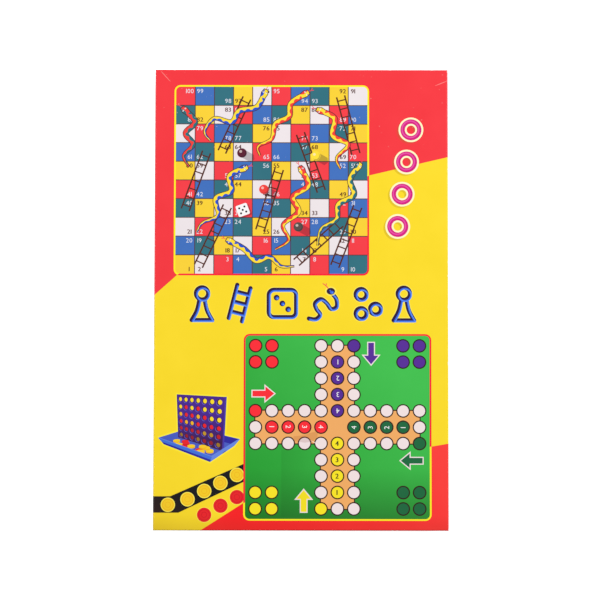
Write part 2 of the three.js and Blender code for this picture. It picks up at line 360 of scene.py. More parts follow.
def counter_pile_tree():
    """Counters on top of each other, each turned and slipped a little."""
    tree = Tree("counter_pile", {"Counter": "Object", "Count": "Int", "Step": "Float", "Slip": "Float",
                                 "Seed": "Int", "Finish": "Material"})
    step = tree.add("ShaderNodeCombineXYZ", Z=tree.value("Step"))
    line = tree.add("GeometryNodeMeshLine", Count=tree.value("Count"), Offset=step)
    back = tree.maths("MULTIPLY", tree.value("Slip"), -1.0)
    lowest = tree.add("ShaderNodeCombineXYZ", X=back, Y=back)
    highest = tree.add("ShaderNodeCombineXYZ", X=tree.value("Slip"), Y=tree.value("Slip"))
    vectors = {"data_type": "FLOAT_VECTOR"}
    slip = tree.add("FunctionNodeRandomValue", settings=vectors, Min=lowest, Max=highest,
                    Seed=tree.value("Seed"))
    spread = tree.add("GeometryNodeSetPosition", Geometry=line, Offset=slip)
    spin = tree.add("FunctionNodeRandomValue", settings=vectors, Min=(0, 0, 0), Max=(0, 0, math.tau),
                    Seed=tree.value("Seed"))
    counter = tree.add("GeometryNodeObjectInfo", "Geometry", Object=tree.value("Counter"))
    pile = tree.add("GeometryNodeInstanceOnPoints", Points=spread, Instance=counter, Rotation=spin)
    return tree.end(tree.add("GeometryNodeRealizeInstances", Geometry=pile))


def windowed_panel_tree():
    """A flat panel standing on the X axis, with rows and columns of round windows through it."""
    tree = Tree("windowed_panel", {
        "Width": "Float", "Height": "Float", "Thickness": "Float", "Columns": "Int", "Rows": "Int",
        "Column Pitch": "Float", "Row Pitch": "Float", "Foot": "Float", "Window Radius": "Float",
        "Window Sides": "Int", "Finish": "Material"})
    panel = tree.add("GeometryNodeCurvePrimitiveQuadrilateral", Width=tree.value("Width"),
                     Height=tree.value("Height"))
    middle = tree.add("ShaderNodeCombineXYZ", Y=tree.maths("MULTIPLY", tree.value("Height"), 0.5))
    panel = tree.add("GeometryNodeTransform", Geometry=panel, Translation=middle)
    steps_across = tree.maths("SUBTRACT", tree.value("Columns"), 1.0)
    steps_up = tree.maths("SUBTRACT", tree.value("Rows"), 1.0)
    wide = tree.maths("MULTIPLY", steps_across, tree.value("Column Pitch"))
    tall = tree.maths("MULTIPLY", steps_up, tree.value("Row Pitch"))
    grid = tree.add("GeometryNodeMeshGrid", Size_X=wide, Size_Y=tall, Vertices_X=tree.value("Columns"),
                    Vertices_Y=tree.value("Rows"))
    lift = tree.maths("ADD", tree.maths("MULTIPLY", tall, 0.5), tree.value("Foot"))
    raise_by = tree.add("ShaderNodeCombineXYZ", Y=lift)
    grid = tree.add("GeometryNodeTransform", Geometry=grid, Translation=raise_by)
    window = tree.add("GeometryNodeCurvePrimitiveCircle", Resolution=tree.value("Window Sides"),
                      Radius=tree.value("Window Radius"))
    windows = tree.add("GeometryNodeInstanceOnPoints", Points=grid, Instance=window)
    windows = tree.add("GeometryNodeRealizeInstances", Geometry=windows)
    outline = tree.add("GeometryNodeJoinGeometry", Geometry=[panel, windows])
    face = tree.add("GeometryNodeFillCurve", Curve=outline)
    raised = tree.add("GeometryNodeExtrudeMesh", Mesh=face, Offset_Scale=tree.value("Thickness"),
                      Individual=False)
    under = tree.add("GeometryNodeFlipFaces", Mesh=face)
    whole = tree.add("GeometryNodeJoinGeometry", Geometry=[raised, under])
    whole = tree.add("GeometryNodeMergeByDistance", Geometry=whole, Distance=PANEL_WELD)
    return tree.end(tree.add("GeometryNodeRealizeInstances", Geometry=whole))


# Drawing with flat shapes

class Pen:
    """Lays filled outlines over each other, through a matrix from its own units to millimetres."""

    def __init__(self, shapes=None, matrix=None):
        self.shapes = [] if shapes is None else shapes
        self.matrix = matrix or Matrix.Identity(4)

    def moved(self, x, y, scale=1, scale_y=None, turn=0):
        stretch = Matrix.Diagonal((scale, scale_y or scale, 1, 1))
        step = Matrix.Translation((x, y, 0)) @ Matrix.Rotation(turn, 4, "Z") @ stretch
        return Pen(self.shapes, self.matrix @ step)

    def fill(self, ink, outline):
        """An ink is a name, or two names and the two points that it fades between."""
        placed = [(self.matrix @ Vector((x, y, 0))).to_2d() for x, y in outline]
        if not isinstance(ink, str):
            first, second, start, end = ink
            start, end = ((self.matrix @ Vector((*point, 0))).to_2d() for point in (start, end))
            ink = (first, second, start, end)
        self.shapes.append((ink, placed))

    def disc(self, ink, x, y, radius, sides=28, squash=1):
        self.fill(ink, ring_points(x, y, radius, sides, squash))

    def line(self, ink, path, width):
        """A line of even width, or of one width for each point of its path."""
        widths = width if isinstance(width, list) else [width] * len(path)
        left, right = edges_beside(path, widths)
        self.band(ink, left, right)

    def band(self, ink, left, right):
        for i in range(len(left) - 1):
            self.fill(ink, [left[i], right[i], right[i + 1], left[i + 1]])

    def number(self, ink, text, x, y, height, turn=0):
        """A number centred on a point, bolder where its ink is dark."""
        pen = self.moved(x, y, height, turn=turn)
        digits = [digit_shape(digit) for digit in text]
        across = -sum(width for _, width in digits) / 2
        for outlines, width in digits:
            for aside in (-DIGIT_BOLD, DIGIT_BOLD) if ink in DARK_NUMBERS else (0,):
                for outline in outlines:
                    pen.fill(ink, [(across + aside + place[0], place[1]) for place in outline])
            across += width


def ring_points(x, y, radius, sides, squash=1):
    turns = [math.tau * i / sides for i in range(sides)]
    return [(x + radius * math.cos(a), y + squash * radius * math.sin(a)) for a in turns]


def edges_beside(path, widths):
    """The two edges of a line along a path."""
    left, right = [], []
    for i, (x, y) in enumerate(path):
        before = path[max(i - 1, 0)]
        after = path[min(i + 1, len(path) - 1)]
        along = Vector((after[0] - before[0], after[1] - before[1])).normalized()
        half = widths[i] / 2
        left.append((x - along.y * half, y + along.x * half))
        right.append((x + along.y * half, y - along.x * half))
    return left, right


def smooth(points, steps=8):
    """A smooth path through the given points."""
    path = []
    for i in range(len(points) - 1):
        a, b = points[max(i - 1, 0)], points[i]
        c, d = points[i + 1], points[min(i + 2, len(points) - 1)]
        for step in range(steps):
            t = step / steps
            path.append(tuple(
                0.5 * (2 * b[k] + (c[k] - a[k]) * t + (2 * a[k] - 5 * b[k] + 4 * c[k] - d[k]) * t ** 2
                       + (3 * b[k] - a[k] - 3 * c[k] + d[k]) * t ** 3)
                for k in (0, 1)))
    return [*path, points[-1]]


def rounded(left, right, bottom, top, radius, steps=6):
    """A rectangle with round corners."""
    corners = [(right - radius, top - radius), (left + radius, top - radius),
               (left + radius, bottom + radius), (right - radius, bottom + radius)]
    outline = []
    for quarter, (x, y) in enumerate(corners):
        for step in range(steps + 1):
            angle = (quarter + step / steps) * math.pi / 2
            outline.append((x + radius * math.cos(angle), y + radius * math.sin(angle)))
    return outline


def below(outline, start, end):
    """The part of an outline on the right of the line from start to end."""
    def height(point):
        return (end[0] - start[0]) * (point[1] - start[1]) - (end[1] - start[1]) * (point[0] - start[0])

    kept = []
    for i, point in enumerate(outline):
        last = outline[i - 1]
        if (height(last) < 0) != (height(point) < 0):
            share = height(last) / (height(last) - height(point))
            kept.append(tuple(last[k] + share * (point[k] - last[k]) for k in (0, 1)))
        if height(point) < 0:
            kept.append(tuple(point))
    return kept


DIGIT_GAP = 0.16
DIGIT_BOLD = 0.035
DARK_NUMBERS = ("number_dark", "black")
DIGITS = {}


def digit_shape(digit):
    """Outlines of a digit one unit high, from its left edge, and the width that it takes up."""
    if digit not in DIGITS:
        curve = bpy.data.curves.new("digit", "FONT")
        curve.body = digit
        curve.resolution_u = 3
        holder = new_object("digit", curve)
        mesh = plain_mesh(holder)
        spots = np.array([vertex.co.xy for vertex in mesh.vertices])
        low, high = spots.min(axis=0), spots.max(axis=0)
        tall = high[1] - low[1]
        spots = (spots - (low[0], (low[1] + high[1]) / 2)) / tall
        outlines = [[tuple(spots[i]) for i in face.vertices] for face in mesh.polygons]
        DIGITS[digit] = (outlines, (high[0] - low[0]) / tall + DIGIT_GAP)
        bpy.data.objects.remove(holder)
        bpy.data.curves.remove(curve)
        bpy.data.meshes.remove(mesh)
    return DIGITS[digit]


# Snakes and ladders picture, in squares from its lower left corner

SQUARE_INKS = ["square_yellow", "square_white", "square_red", "square_blue", "square_teal"]
LIGHT_SQUARES = ("square_yellow", "square_white")
NUMBER_SPOTS = [(0.74, 0.24), (0.27, 0.77), (0.73, 0.77), (0.27, 0.24)]
NUMBER_HEIGHT = 0.23
GRID_WIDTH = 0.045
LADDER_HALF_WIDTH = 0.12
LADDER_WIDENING = 0.03
RAIL_WIDTH = 0.08
RUNG_WIDTH = 0.065
RUNG_STEP = 0.42
LADDERS = [
    ((1.2, 0.4), (2.7, 3.6)), ((6.3, 0.6), (8.6, 2.7)), ((0.5, 3.4), (1.6, 6.5)), ((4.4, 2.3), (5.4, 5.6)),
    ((7.6, 4.4), (6.5, 7.5)), ((2.4, 6.5), (3.7, 9.4)), ((9.4, 6.4), (8.6, 9.5)), ((8.3, 0.4), (9.5, 3.6)),
]
SNAKES = [
    ("snake_yellow", "snake_red",
     [(6.7, 9.6), (6.0, 9.1), (5.9, 8.4), (5.2, 8.0), (5.0, 7.2), (4.3, 6.8), (4.4, 6.3)]),
    ("snake_yellow", "snake_blue",
     [(3.5, 5.6), (2.8, 5.2), (2.9, 4.4), (2.1, 4.0), (2.2, 3.1), (1.4, 2.7), (1.1, 2.2)]),
    ("snake_red", "snake_yellow",
     [(6.6, 5.5), (6.9, 4.7), (6.1, 4.1), (6.4, 3.3), (5.6, 2.6), (5.9, 1.8), (5.2, 1.3)]),
    ("snake_yellow", "snake_teal",
     [(9.5, 5.7), (9.1, 5.0), (9.3, 4.2), (8.5, 3.7), (8.4, 2.9), (7.6, 2.4), (7.4, 1.5)]),
    ("snake_red", "snake_teal",
     [(0.5, 8.7), (1.0, 8.1), (0.5, 7.5), (0.9, 6.9), (0.4, 6.3), (0.7, 5.7)]),
    ("snake_yellow", "snake_blue",
     [(4.6, 9.6), (4.2, 8.9), (3.3, 8.7), (2.9, 8.1), (2.0, 8.3), (1.5, 7.6), (1.8, 7.1)]),
    ("snake_yellow", "snake_red",
     [(7.6, 8.7), (8.3, 8.3), (8.2, 7.4), (9.0, 6.9), (8.4, 6.2), (8.6, 5.6)]),
    ("snake_yellow", "snake_blue",
     [(2.9, 1.7), (3.6, 1.3), (4.2, 0.7), (4.9, 0.9), (5.5, 0.4), (6.2, 0.4)]),
]


def ladders_picture(pen):
    for row in range(10):
        for column in range(10):
            ink = SQUARE_INKS[(column + 3 * row) % 5]
            corners = [(column, row), (column + 1, row), (column + 1, row + 1), (column, row + 1)]
            pen.fill(ink, corners)
            count = 10 * row + (column + 1 if row % 2 == 0 else 10 - column)
            tone = "number_dark" if ink in LIGHT_SQUARES else "number_light"
            across, up = NUMBER_SPOTS[(3 * column + 2 * row) % 4]
            pen.number(tone, str(count), column + across, row + up, NUMBER_HEIGHT)
    for i in range(1, 10):
        pen.line("grid_line", [(i, 0), (i, 10)], GRID_WIDTH)
        pen.line("grid_line", [(0, i), (10, i)], GRID_WIDTH)
    for foot, head in LADDERS:
        ladder(pen, Vector(foot), Vector(head))
    for base, back, points in SNAKES:
        snake(pen, smooth(points), base, back)
    pictured_pawn(pen, 4.6, 4.5, "snake_red")
    pictured_pawn(pen, 7.3, 6.3, "snake_yellow")
    pictured_pawn(pen, 3.45, 6.45, "pawn_plum")
    pictured_pawn(pen, 6.4, 2.5, "pawn_grey")
    pictured_die(pen.moved(3.5, 3.4, 0.62, turn=0.35))


def ladder(pen, foot, head):
    along = (head - foot).normalized()
    length = (head - foot).length
    side = Vector((-along.y, along.x)) * (LADDER_HALF_WIDTH + LADDER_WIDENING * length)
    for hand in (-1, 1):
        pen.line("ladder", [foot + hand * side, head + hand * side], RAIL_WIDTH)
    rungs = int(length / RUNG_STEP)
    for rung in range(rungs):
        middle = foot.lerp(head, (rung + 0.5) / rungs)
        pen.line("ladder", [middle - side, middle + side], RUNG_WIDTH)


def evenly(path, step):
    """A path's points at even steps along it."""
    lengths = np.hypot(*np.diff(np.array(path), axis=0).T)
    along = np.concatenate(([0], np.cumsum(lengths)))
    marks = np.linspace(0, along[-1], max(int(along[-1] / step), 2))
    xs, ys = (np.interp(marks, along, [point[k] for point in path]) for k in (0, 1))
    return list(zip(xs.tolist(), ys.tolist()))


SNAKE_STEP = 0.07
SNAKE_GIRTH = 0.25
SNAKE_EDGE = 0.07
SCALLOP = 0.36


def snake(pen, path, base, back):
    """A tapering body with a scalloped back, and a head at the start of its path."""
    path = evenly(path, SNAKE_STEP)
    count = len(path) - 1
    swelling = [min(0.72 + i / 12, 1, 0.2 + 1.6 * (count - i) / count) for i in range(count + 1)]
    girth = [SNAKE_GIRTH * share for share in swelling]
    pen.line("snake_line", path, [width + SNAKE_EDGE for width in girth])
    pen.line(base, path, girth)
    left, _ = edges_beside(path, girth)
    bulge = [abs(math.sin(math.pi * i * SNAKE_STEP / SCALLOP)) for i in range(count + 1)]
    inner, _ = edges_beside(path, [width * (0.72 - 0.95 * swell) for width, swell in zip(girth, bulge)])
    pen.band(back, left, inner)
    nose = Vector(path[0])
    facing = (nose - Vector(path[3])).normalized()
    turn = math.atan2(facing.y, facing.x)
    head = pen.moved(*(nose + 0.06 * facing), turn=turn)
    for side in (-1, 1):
        head.line("tongue", [(0.2, 0), (0.36, 0), (0.48, 0.07 * side)], 0.035)
    head.fill("snake_line", [(-0.25, 0.15), (-0.25, -0.15), (0, -0.2), (0.24, -0.12), (0.24, 0.12), (0, 0.2)])
    head.fill(base, [(-0.25, 0.11), (-0.25, -0.11), (0, -0.16), (0.2, -0.09), (0.2, 0.09), (0, 0.16)])
    head.fill(back, [(-0.25, 0.11), (-0.1, 0.02), (0.12, 0.04), (0.2, 0.09), (0, 0.16)])
    for side in (-1, 1):
        head.disc("white", 0.05, 0.085 * side, 0.045, 10)
        head.disc("black", 0.065, 0.085 * side, 0.024, 8)


def pictured_pawn(pen, x, y, ink):
    """A pawn seen from above, with its shadow."""
    pen.fill("shadow", [(x - 0.1, y - 0.2), (x + 0.12, y + 0.18), (x + 0.62, y - 0.1), (x + 0.66, y - 0.34),
                        (x + 0.46, y - 0.5)])
    pen.disc(ink, x, y, 0.25)
    pen.disc("shadow", x + 0.03, y - 0.03, 0.2, 20)
    pen.disc(ink, x - 0.01, y + 0.01, 0.19, 20)
    pen.disc("shine", x - 0.07, y + 0.08, 0.075, 14)


def pictured_die(pen):
    pen.fill("shadow", rounded(-0.42, 0.62, -0.66, 0.38, 0.16))
    pen.fill("white", rounded(-0.5, 0.5, -0.5, 0.5, 0.14))
    for x, y in [(-0.23, -0.23), (0.23, 0.23), (-0.23, 0.23), (0.23, -0.23), (0, 0)]:
        pen.disc("black", x, y, 0.09, 12)


# Ludo picture, in steps of the track from its middle

TRACK_END = 5
LUDO_HALF = 5.62
LUDO_SIDES = ["ludo_violet", "ludo_green", "ludo_yellow", "ludo_red"]
LUDO_NUMBER_HEIGHT = 0.3
SPOT_EDGE = 0.42
SPOT_RADIUS = 0.345


def ludo_picture(pen, half_x, half_y):
    field = [(-half_x, -half_y), (half_x, -half_y), (half_x, half_y), (-half_x, half_y)]
    pen.fill(("ludo_dark", "ludo_light", (-half_x, -half_y), (0.55 * half_x, 0.7 * half_y)), field)
    low = -0.45 * half_y
    pen.fill(("ludo_shade", "no_shade", (0, -half_y), (0, low)),
             [(-half_x, -half_y), (half_x, -half_y), (half_x, low), (-half_x, low)])
    for ink, spare in (("ludo_line", 0.07), ("ludo_tan", 0)):
        near, far = 1 + spare, TRACK_END + spare
        pen.fill(ink, [(-near, -far), (near, -far), (near, far), (-near, far)])
        pen.fill(ink, [(-far, -near), (far, -near), (far, near), (-far, near)])
    for quarter, ink in enumerate(LUDO_SIDES):
        ludo_quarter(pen.moved(0, 0, turn=-quarter * math.pi / 2), ink)


def ludo_quarter(pen, ink):
    """One arm of the cross, pointing up, with its corner base on the right."""
    for step in range(1, TRACK_END + 1):
        if step > 1:
            spot(pen, "ludo_white", -1, step)
        spot(pen, ink if step == TRACK_END else "ludo_white", 1, step)
    spot(pen, "ludo_white", 0, TRACK_END)
    tone = "black" if ink == "ludo_yellow" else "white"
    for home in range(1, TRACK_END):
        spot(pen, ink, 0, home)
        pen.number(tone, str(TRACK_END - home), 0, home, LUDO_NUMBER_HEIGHT, math.pi)
    for x in (4, 5):
        for y in (4, 5):
            spot(pen, ink, x, y)
    arrow = pen.moved(2.05, 4.52, 0.92, turn=-math.pi / 2)
    arrow.fill("ludo_white", arrow_outline(-0.79, 0.07, 0.83, 0.26, 0.63))
    arrow.fill(ink, arrow_outline(-0.72, 0.14, 0.72, 0.19, 0.48))


def arrow_outline(tail, neck, tip, shaft, barb):
    """An arrow to the right, with the half widths of its shaft and its barbs."""
    upper = [(neck, barb), (neck, shaft), (tail, shaft)]
    return [(x, -y) for x, y in reversed(upper)] + [(tip, 0)] + upper


def spot(pen, ink, x, y):
    pen.disc("ludo_line", x, y, SPOT_EDGE)
    pen.disc(ink, x, y, SPOT_RADIUS)


# Picture of the stand with its rack, drawn in perspective from the set's own sizes

STAND_EYE = Vector((223, -273, 146))
STAND_MIDDLE = Vector((0, 0, 45))
STAND_HALO = 7
PICTURED_RACK = {"half": 71, "top": 124, "front": -4, "back": 4}
PICTURED_FOOT = 6
PICTURED_SHADE = 70
PICTURED_PITCH = (19.6, 19)
PICTURED_LOWEST = 17
PICTURED_HOLE = 6.6
PICTURED_FILLING = [4, 5, 4, 5, 4, 3, 3]
LYING_RADIUS = 9
LYING_THICKNESS = 3


def seen_from(eye, target):
    """Maps a point in space to where an eye sees it, in millimetres at the target's distance."""
    ahead = (target - eye).normalized()
    right = ahead.cross(Vector((0, 0, 1))).normalized()
    up = right.cross(ahead)
    reach = (target - eye).length

    def place(x, y, z):
        way = Vector((x, y, z)) - eye
        depth = reach / way.dot(ahead)
        return way.dot(right) * depth, way.dot(up) * depth

    return place


def stand_picture(pen):
    see = seen_from(STAND_EYE, STAND_MIDDLE)
    floor_x, floor_y, rim_x, rim_y, depth = 73, 53, 82.7, 62, 18
    corners = ((-1, -1), (1, -1), (1, 1), (-1, 1))
    low = [see(x * floor_x, y * floor_y, 3) for x, y in corners]
    rim = [see(x * rim_x, y * rim_y, depth) for x, y in corners]
    lip = [see(x * (rim_x - 3), y * (rim_y - 3), depth) for x, y in corners]
    foot = [see(x * floor_x, y * floor_y, 0) for x, y in corners]
    pen.line("stand_halo", [rim[3], rim[0], foot[0], foot[1], foot[2], rim[2], rim[3]], STAND_HALO)
    face, side = rack_faces(see)
    pen.line("stand_halo", [face[0], face[3], side[3], side[2], side[1]], STAND_HALO)
    pen.fill("tray_dark", rim)
    pen.fill("tray_mid", low)
    pen.fill("tray_dark", [low[2], low[3], lip[3], lip[2]])
    pen.fill("tray_mid", [low[3], low[0], lip[0], lip[3]])
    tray_rims(pen, rim, lip, (2, 3), "tray_mid")
    pictured_rack(pen, see)
    scattered = random.Random(4)
    for i in range(12):
        x, y = scattered.uniform(-52, 60), scattered.uniform(-44, -18)
        ink = "disc_red" if i % 3 == 1 else "disc_yellow"
        lying_disc(pen, see, x, y, 5 + 2 * (i % 3), ink)
    pen.fill("tray_front", [foot[0], foot[1], rim[1], rim[0]])
    shade = [Vector(foot[i]).lerp(Vector(rim[i]), 0.42) for i in (0, 1)]
    pen.fill("tray_dark", [foot[0], foot[1], shade[1], shade[0]])
    pen.fill("tray_light", [foot[1], foot[2], rim[2], rim[1]])
    notch = [see(floor_x, -7, 0), see(floor_x, 9, 0), see(floor_x + 2, 9, 4), see(floor_x + 2, -7, 4)]
    pen.fill("tray_dark", notch)
    tray_rims(pen, rim, lip, (0, 1), "tray_light")


def tray_rims(pen, rim, lip, sides, ink):
    for i in sides:
        after = (i + 1) % 4
        pen.fill(ink, [rim[i], rim[after], lip[after], lip[i]])


def rack_faces(see):
    """The pictured rack's front face and its near end."""
    half, top, front, back = PICTURED_RACK.values()
    foot = PICTURED_FOOT
    face = [see(-half, front, foot), see(half, front, foot), see(half, front, top), see(-half, front, top)]
    side = [see(half, front, foot), see(half, back, foot), see(half, back, top), see(half, front, top)]
    return face, side


def pictured_rack(pen, see):
    front, hole = PICTURED_RACK["front"], PICTURED_HOLE
    across, up = PICTURED_PITCH
    face, side = rack_faces(see)
    pen.fill("rack_side", side)
    pen.fill(("rack_low", "rack_face", see(0, front, PICTURED_FOOT), see(0, front, PICTURED_SHADE)), face)
    for column, height in enumerate(PICTURED_FILLING):
        for row in range(ROWS):
            x, z = (column - COLUMNS // 2) * across, PICTURED_LOWEST + up * row
            filled = "disc_red" if (2 * column + row * (column % 2 + 1)) % 3 else "disc_yellow_rim"
            rear = filled if row < height else "rack_hole"
            glimpse = ring_points(x + 1.7, z + 0.5, hole - 1.5, 16)
            for ink, ring in (("rack_glint", ring_points(x - 1.2, z - 1.4, hole, 16)),
                              ("rack_low", ring_points(x, z, hole, 16)), (rear, glimpse)):
                pen.fill(ink, [see(u, front, w) for u, w in ring])
            for _ in range(row, 2):
                pen.fill("rack_shade", [see(u, front, w) for u, w in glimpse])


def lying_disc(pen, see, x, y, z, ink):
    edge = ring_points(x, y, LYING_RADIUS, 18)
    for tone, up in ((ink + "_rim", 0), (ink, LYING_THICKNESS)):
        pen.fill(tone, [see(*point, z + up) for point in edge])


# The lid's other print

UPPER_SPLIT = ((-72.6, 13.9), (39.7, 72.5))
LOWER_SPLIT = ((-33.4, -119), (75.5, -86.2))


def lid_fields(pen):
    wide, tall = FACE_X + BLEED, FACE_Y + BLEED
    upper = [(-wide, -44), (-FACE_X, 1.9), *UPPER_SPLIT, (FACE_X, 83.4), (wide, 98)]
    pen.fill("red", [*upper, (wide, tall), (-wide, tall)])
    lower = [(wide, -74.3), (FACE_X, -84.4), *reversed(LOWER_SPLIT), (-58.5, -FACE_Y), (-152.7, -tall)]
    # The lower field fades from red in painted shade at its lower left to a lighter red towards its upper
    # right
    pen.fill(("red_low", "red_right", (50, -132), (80, -108)), [*lower, (wide, -tall)])


def within(panel, margin):
    left, right, bottom, top = panel
    return left + margin, right - margin, bottom + margin, top - margin


def border(pen, panel, over_field, beyond, split):
    """A round-cornered border that changes its ink where the field behind it does."""
    outer = rounded(*panel, PANEL_CORNER)
    inner = rounded(*within(panel, PANEL_BORDER), PANEL_CORNER - PANEL_BORDER)
    for i in range(len(outer)):
        quad = [outer[i - 1], outer[i], inner[i], inner[i - 1]]
        pen.fill(over_field, quad)
        part = below(quad, *split)
        if len(part) > 2:
            pen.fill(beyond, part)


def lid_print():
    """Everything that is printed on the lid, in millimetres from the middle of its face."""
    pen = Pen()
    lid_fields(pen)
    disc_band(pen)
    stand_picture(pen.moved(-59.6, -75.6, 0.236))
    icon_row(pen)
    ring_row(pen)

    left, right, bottom, top = within(LADDERS_PANEL, PANEL_BORDER)
    ladders_picture(pen.moved(left, bottom, (right - left) / 10, (top - bottom) / 10))
    border(pen, LADDERS_PANEL, "border_yellow", "border_red", UPPER_SPLIT)

    left, right, bottom, top = within(LUDO_PANEL, PANEL_BORDER)
    step_x, step_y = (right - left) / (2 * LUDO_HALF), (top - bottom) / (2 * LUDO_HALF)
    ludo_picture(pen.moved((left + right) / 2, (bottom + top) / 2, step_x, step_y), LUDO_HALF, LUDO_HALF)
    border(pen, LUDO_PANEL, "border_red", "border_yellow", LOWER_SPLIT)
    wear(pen)
    return pen.shapes


BAND_START = -86.5 - BLEED
COUNTER_HALO = 4.5


def disc_band(pen):
    """A black band with yellow counters on it, and red counters below it."""
    pen.fill("black", [(BAND_START, -115.2), (-76, -115.2), (-33, -96.2), (-33, -106.6), (-71.2, -124.7),
                       (BAND_START, -124.7)])
    for x, y in [(-77.3, -120.1), (-65.9, -116.9), (-56.2, -112.1), (-46.8, -107.4), (-37.2, -102.7)]:
        counter_picture(pen, x, y, "disc_yellow", "disc_halo")
    for x, y in [(-56.2, -125.9), (-46.7, -120.6), (-37.2, -115.6)]:
        pen.disc("disc_halo", x, y, COUNTER_HALO)
        counter_picture(pen, x, y, "disc_red", "disc_red")


def counter_picture(pen, x, y, ink, edge):
    """A counter seen from above: its edge and two raised rings."""
    pen.disc(edge, x, y, 4.2)
    pen.disc(ink, x, y, 3.75)
    pen.disc(ink + "_rim", x, y, 3.3)
    pen.disc(ink, x, y, 2.95)
    pen.disc(ink + "_rim", x, y, 1.7, 20)
    pen.disc(ink, x, y, 1.4, 20)


# Layers of a bevelled line: ink, width and how far the layer lies to the lower right
BEVEL_INKS = [
    ("icon_halo", 3.4, 0),
    ("icon_dark", 2.5, 0),
    ("icon_blue", 1.15, 0.65),
    ("icon_light", 0.3, 0.9),
]


def bevelled(pen, *paths):
    """Thick lines with a dark upper left side and a bright lower right one."""
    for ink, width, aside in BEVEL_INKS:
        for path in paths:
            shifted = [(x + aside, y - aside) for x, y in path]
            pen.line(ink, shifted, width)
            if ink != "icon_halo":
                for x, y in (shifted[0], shifted[-1]):
                    pen.disc(ink, x, y, width / 2, 16)


def looped(points):
    return [*points, points[0], points[1]]


def icon_row(pen):
    """A row of game pieces in thick blue lines: pawn, ladder, die, snake, counters and pawn."""
    for x in (-58, 60):
        pawn_icon(pen.moved(x, -3))
    rails = [[(side, -10), (side, 10)] for side in (-4, 4)]
    rungs = [[(-4, height), (4, height)] for height in (-6, 0, 6)]
    bevelled(pen.moved(-36, -2.6, turn=-0.25), *rails, *rungs)
    die = pen.moved(-11, -2.8)
    bevelled(die, looped(rounded(-8, 8, -8, 8, 3)))
    for x, y in ((-3.4, 3.4), (0, 0), (3.4, -3.4)):
        bevelled_dot(die, x, y)
    snake_icon(pen.moved(14.5, -2.6))
    for x, y in ((35, 2.6), (43.4, -6), (35, -8.6)):
        bevelled(pen.moved(x, y), looped(ring_points(0, 0, 3.2, 20)))


def snake_icon(pen):
    body = [(-10, -9), (-6, -9.4), (-3.4, -6.6), (-5.6, -3.4), (-6.4, 0), (-3, 2.4), (0.4, 0), (3, -3.4),
            (6.2, -2), (6, 2.4), (3.6, 5.6)]
    bevelled(pen, smooth(body, 5))
    for ink, width, aside in BEVEL_INKS:
        pen.fill(ink, [(x + aside, y - aside) for x, y in ring_points(2.8, 7, width, 16, 0.8)])
    bevelled_dot(pen, 2.2, 7.6, 0.45)
    for tip in (-1.4, 0.9):
        pen.line("tongue", [(1.4, 8.6), (0, 10.2), (tip - 0.6, 11.6)], 0.5)


def pawn_icon(pen):
    head = looped(ring_points(0, 6, 3.6, 22))
    left, right = (smooth([(side * 1.6, 2), (side * 3, -4), (side * 6, -9.6)], 5) for side in (-1, 1))
    bevelled(pen, left, right, [(-6, -9.6), (6, -9.6)], head)


def bevelled_dot(pen, x, y, scale=1):
    for ink, radius, aside in (("icon_dark", 1.7, 0), ("icon_blue", 1.0, 0.4), ("icon_light", 0.35, 0.6)):
        pen.disc(ink, x + scale * aside, y - scale * aside, scale * radius, 16)


def ring_row(pen):
    """Four rings in a leaning row, with a cream outline and a soft shadow."""
    rings = [looped(ring_points(56.5 + 2.6 * i, 42.5 + 19 * i, 4.9, 36)) for i in range(4)]
    for ring in rings:
        pen.line("ring_shadow", [(x - 1.1, y - 0.9) for x, y in ring], 4.8)
    for ring in rings:
        pen.line("ring_cream", ring, 4.8)
        pen.line("ring_magenta", ring, 2.6)
        pen.line("ring_light", [(x - 0.3, y + 0.3) for x, y in ring], 0.7)


# Wear of the lid: specks, chips along the folds, creases, a stain and a step in tone, then painted shade
# along the lower edge and at the lower left corner

SPECKS = 60
CHIPS = 26


def wear(pen):
    scuff = random.Random(11)
    for _ in range(SPECKS):
        x, y = scuff.uniform(-FACE_X, FACE_X), scuff.uniform(80, 134)
        pen.disc("crack", x, y, scuff.uniform(0.12, 0.34), 7, scuff.uniform(0.5, 1))
    for _ in range(CHIPS):
        if scuff.random() < 0.6:
            x, y = scuff.choice((-85.8, 85.8)), scuff.uniform(-134, 134)
            across, along = scuff.uniform(0.1, 0.3), scuff.uniform(0.3, 1.4)
        else:
            x, y = scuff.uniform(-FACE_X, FACE_X), scuff.choice((-134.9, 134.9))
            across, along = scuff.uniform(0.3, 1.4), scuff.uniform(0.1, 0.25)
        pen.fill("bare_board", [(x + across * math.cos(a) * scuff.uniform(0.6, 1),
                                 y + along * math.sin(a) * scuff.uniform(0.6, 1))
                                for a in (0, 1, 2.1, 3.1, 4.2, 5.2)])
    for ink, path in (("crack", [(-83, 134.4), (-80, 131), (-77, 127.8)]),
                      ("crack", [(86, 128.6), (82, 127), (78.6, 125.6)]),
                      ("white_crease", [(5.4, -82.6), (8.4, -84.2), (11.2, -86.6)])):
        pen.line(ink, smooth(path, 4), [0.06 + 0.3 * math.sin(math.pi * i / 8) for i in range(9)])
    pen.fill("stain", [(-4.6, -80.4), (1.6, -79.6), (6.4, -78), (9.8, -77.4), (9.6, -80.6), (6.6, -83.4),
                       (2.2, -84), (-3.8, -83)])
    pen.fill(("tone_step", "no_tone", (-11.4, 0), (9, 0)), [(-11.4, -88), (9, -88), (9, -127), (-11.4, -127)])
    # Painted shade: the face darkens towards its lower left corner and along its lower edge
    pen.fill(("painted_edge_shade", "no_painted_edge_shade", (-FACE_X, -FACE_Y), (-74, -113)),
             [(-FACE_X, -FACE_Y), (-20, -FACE_Y), (-FACE_X, -99)])
    pen.fill(("painted_edge_shade", "no_painted_edge_shade", (0, -FACE_Y), (0, -126)),
             [(-FACE_X, -FACE_Y), (FACE_X, -FACE_Y), (FACE_X, -126), (-FACE_X, -126)])


# Cutting a drawing into plain faces

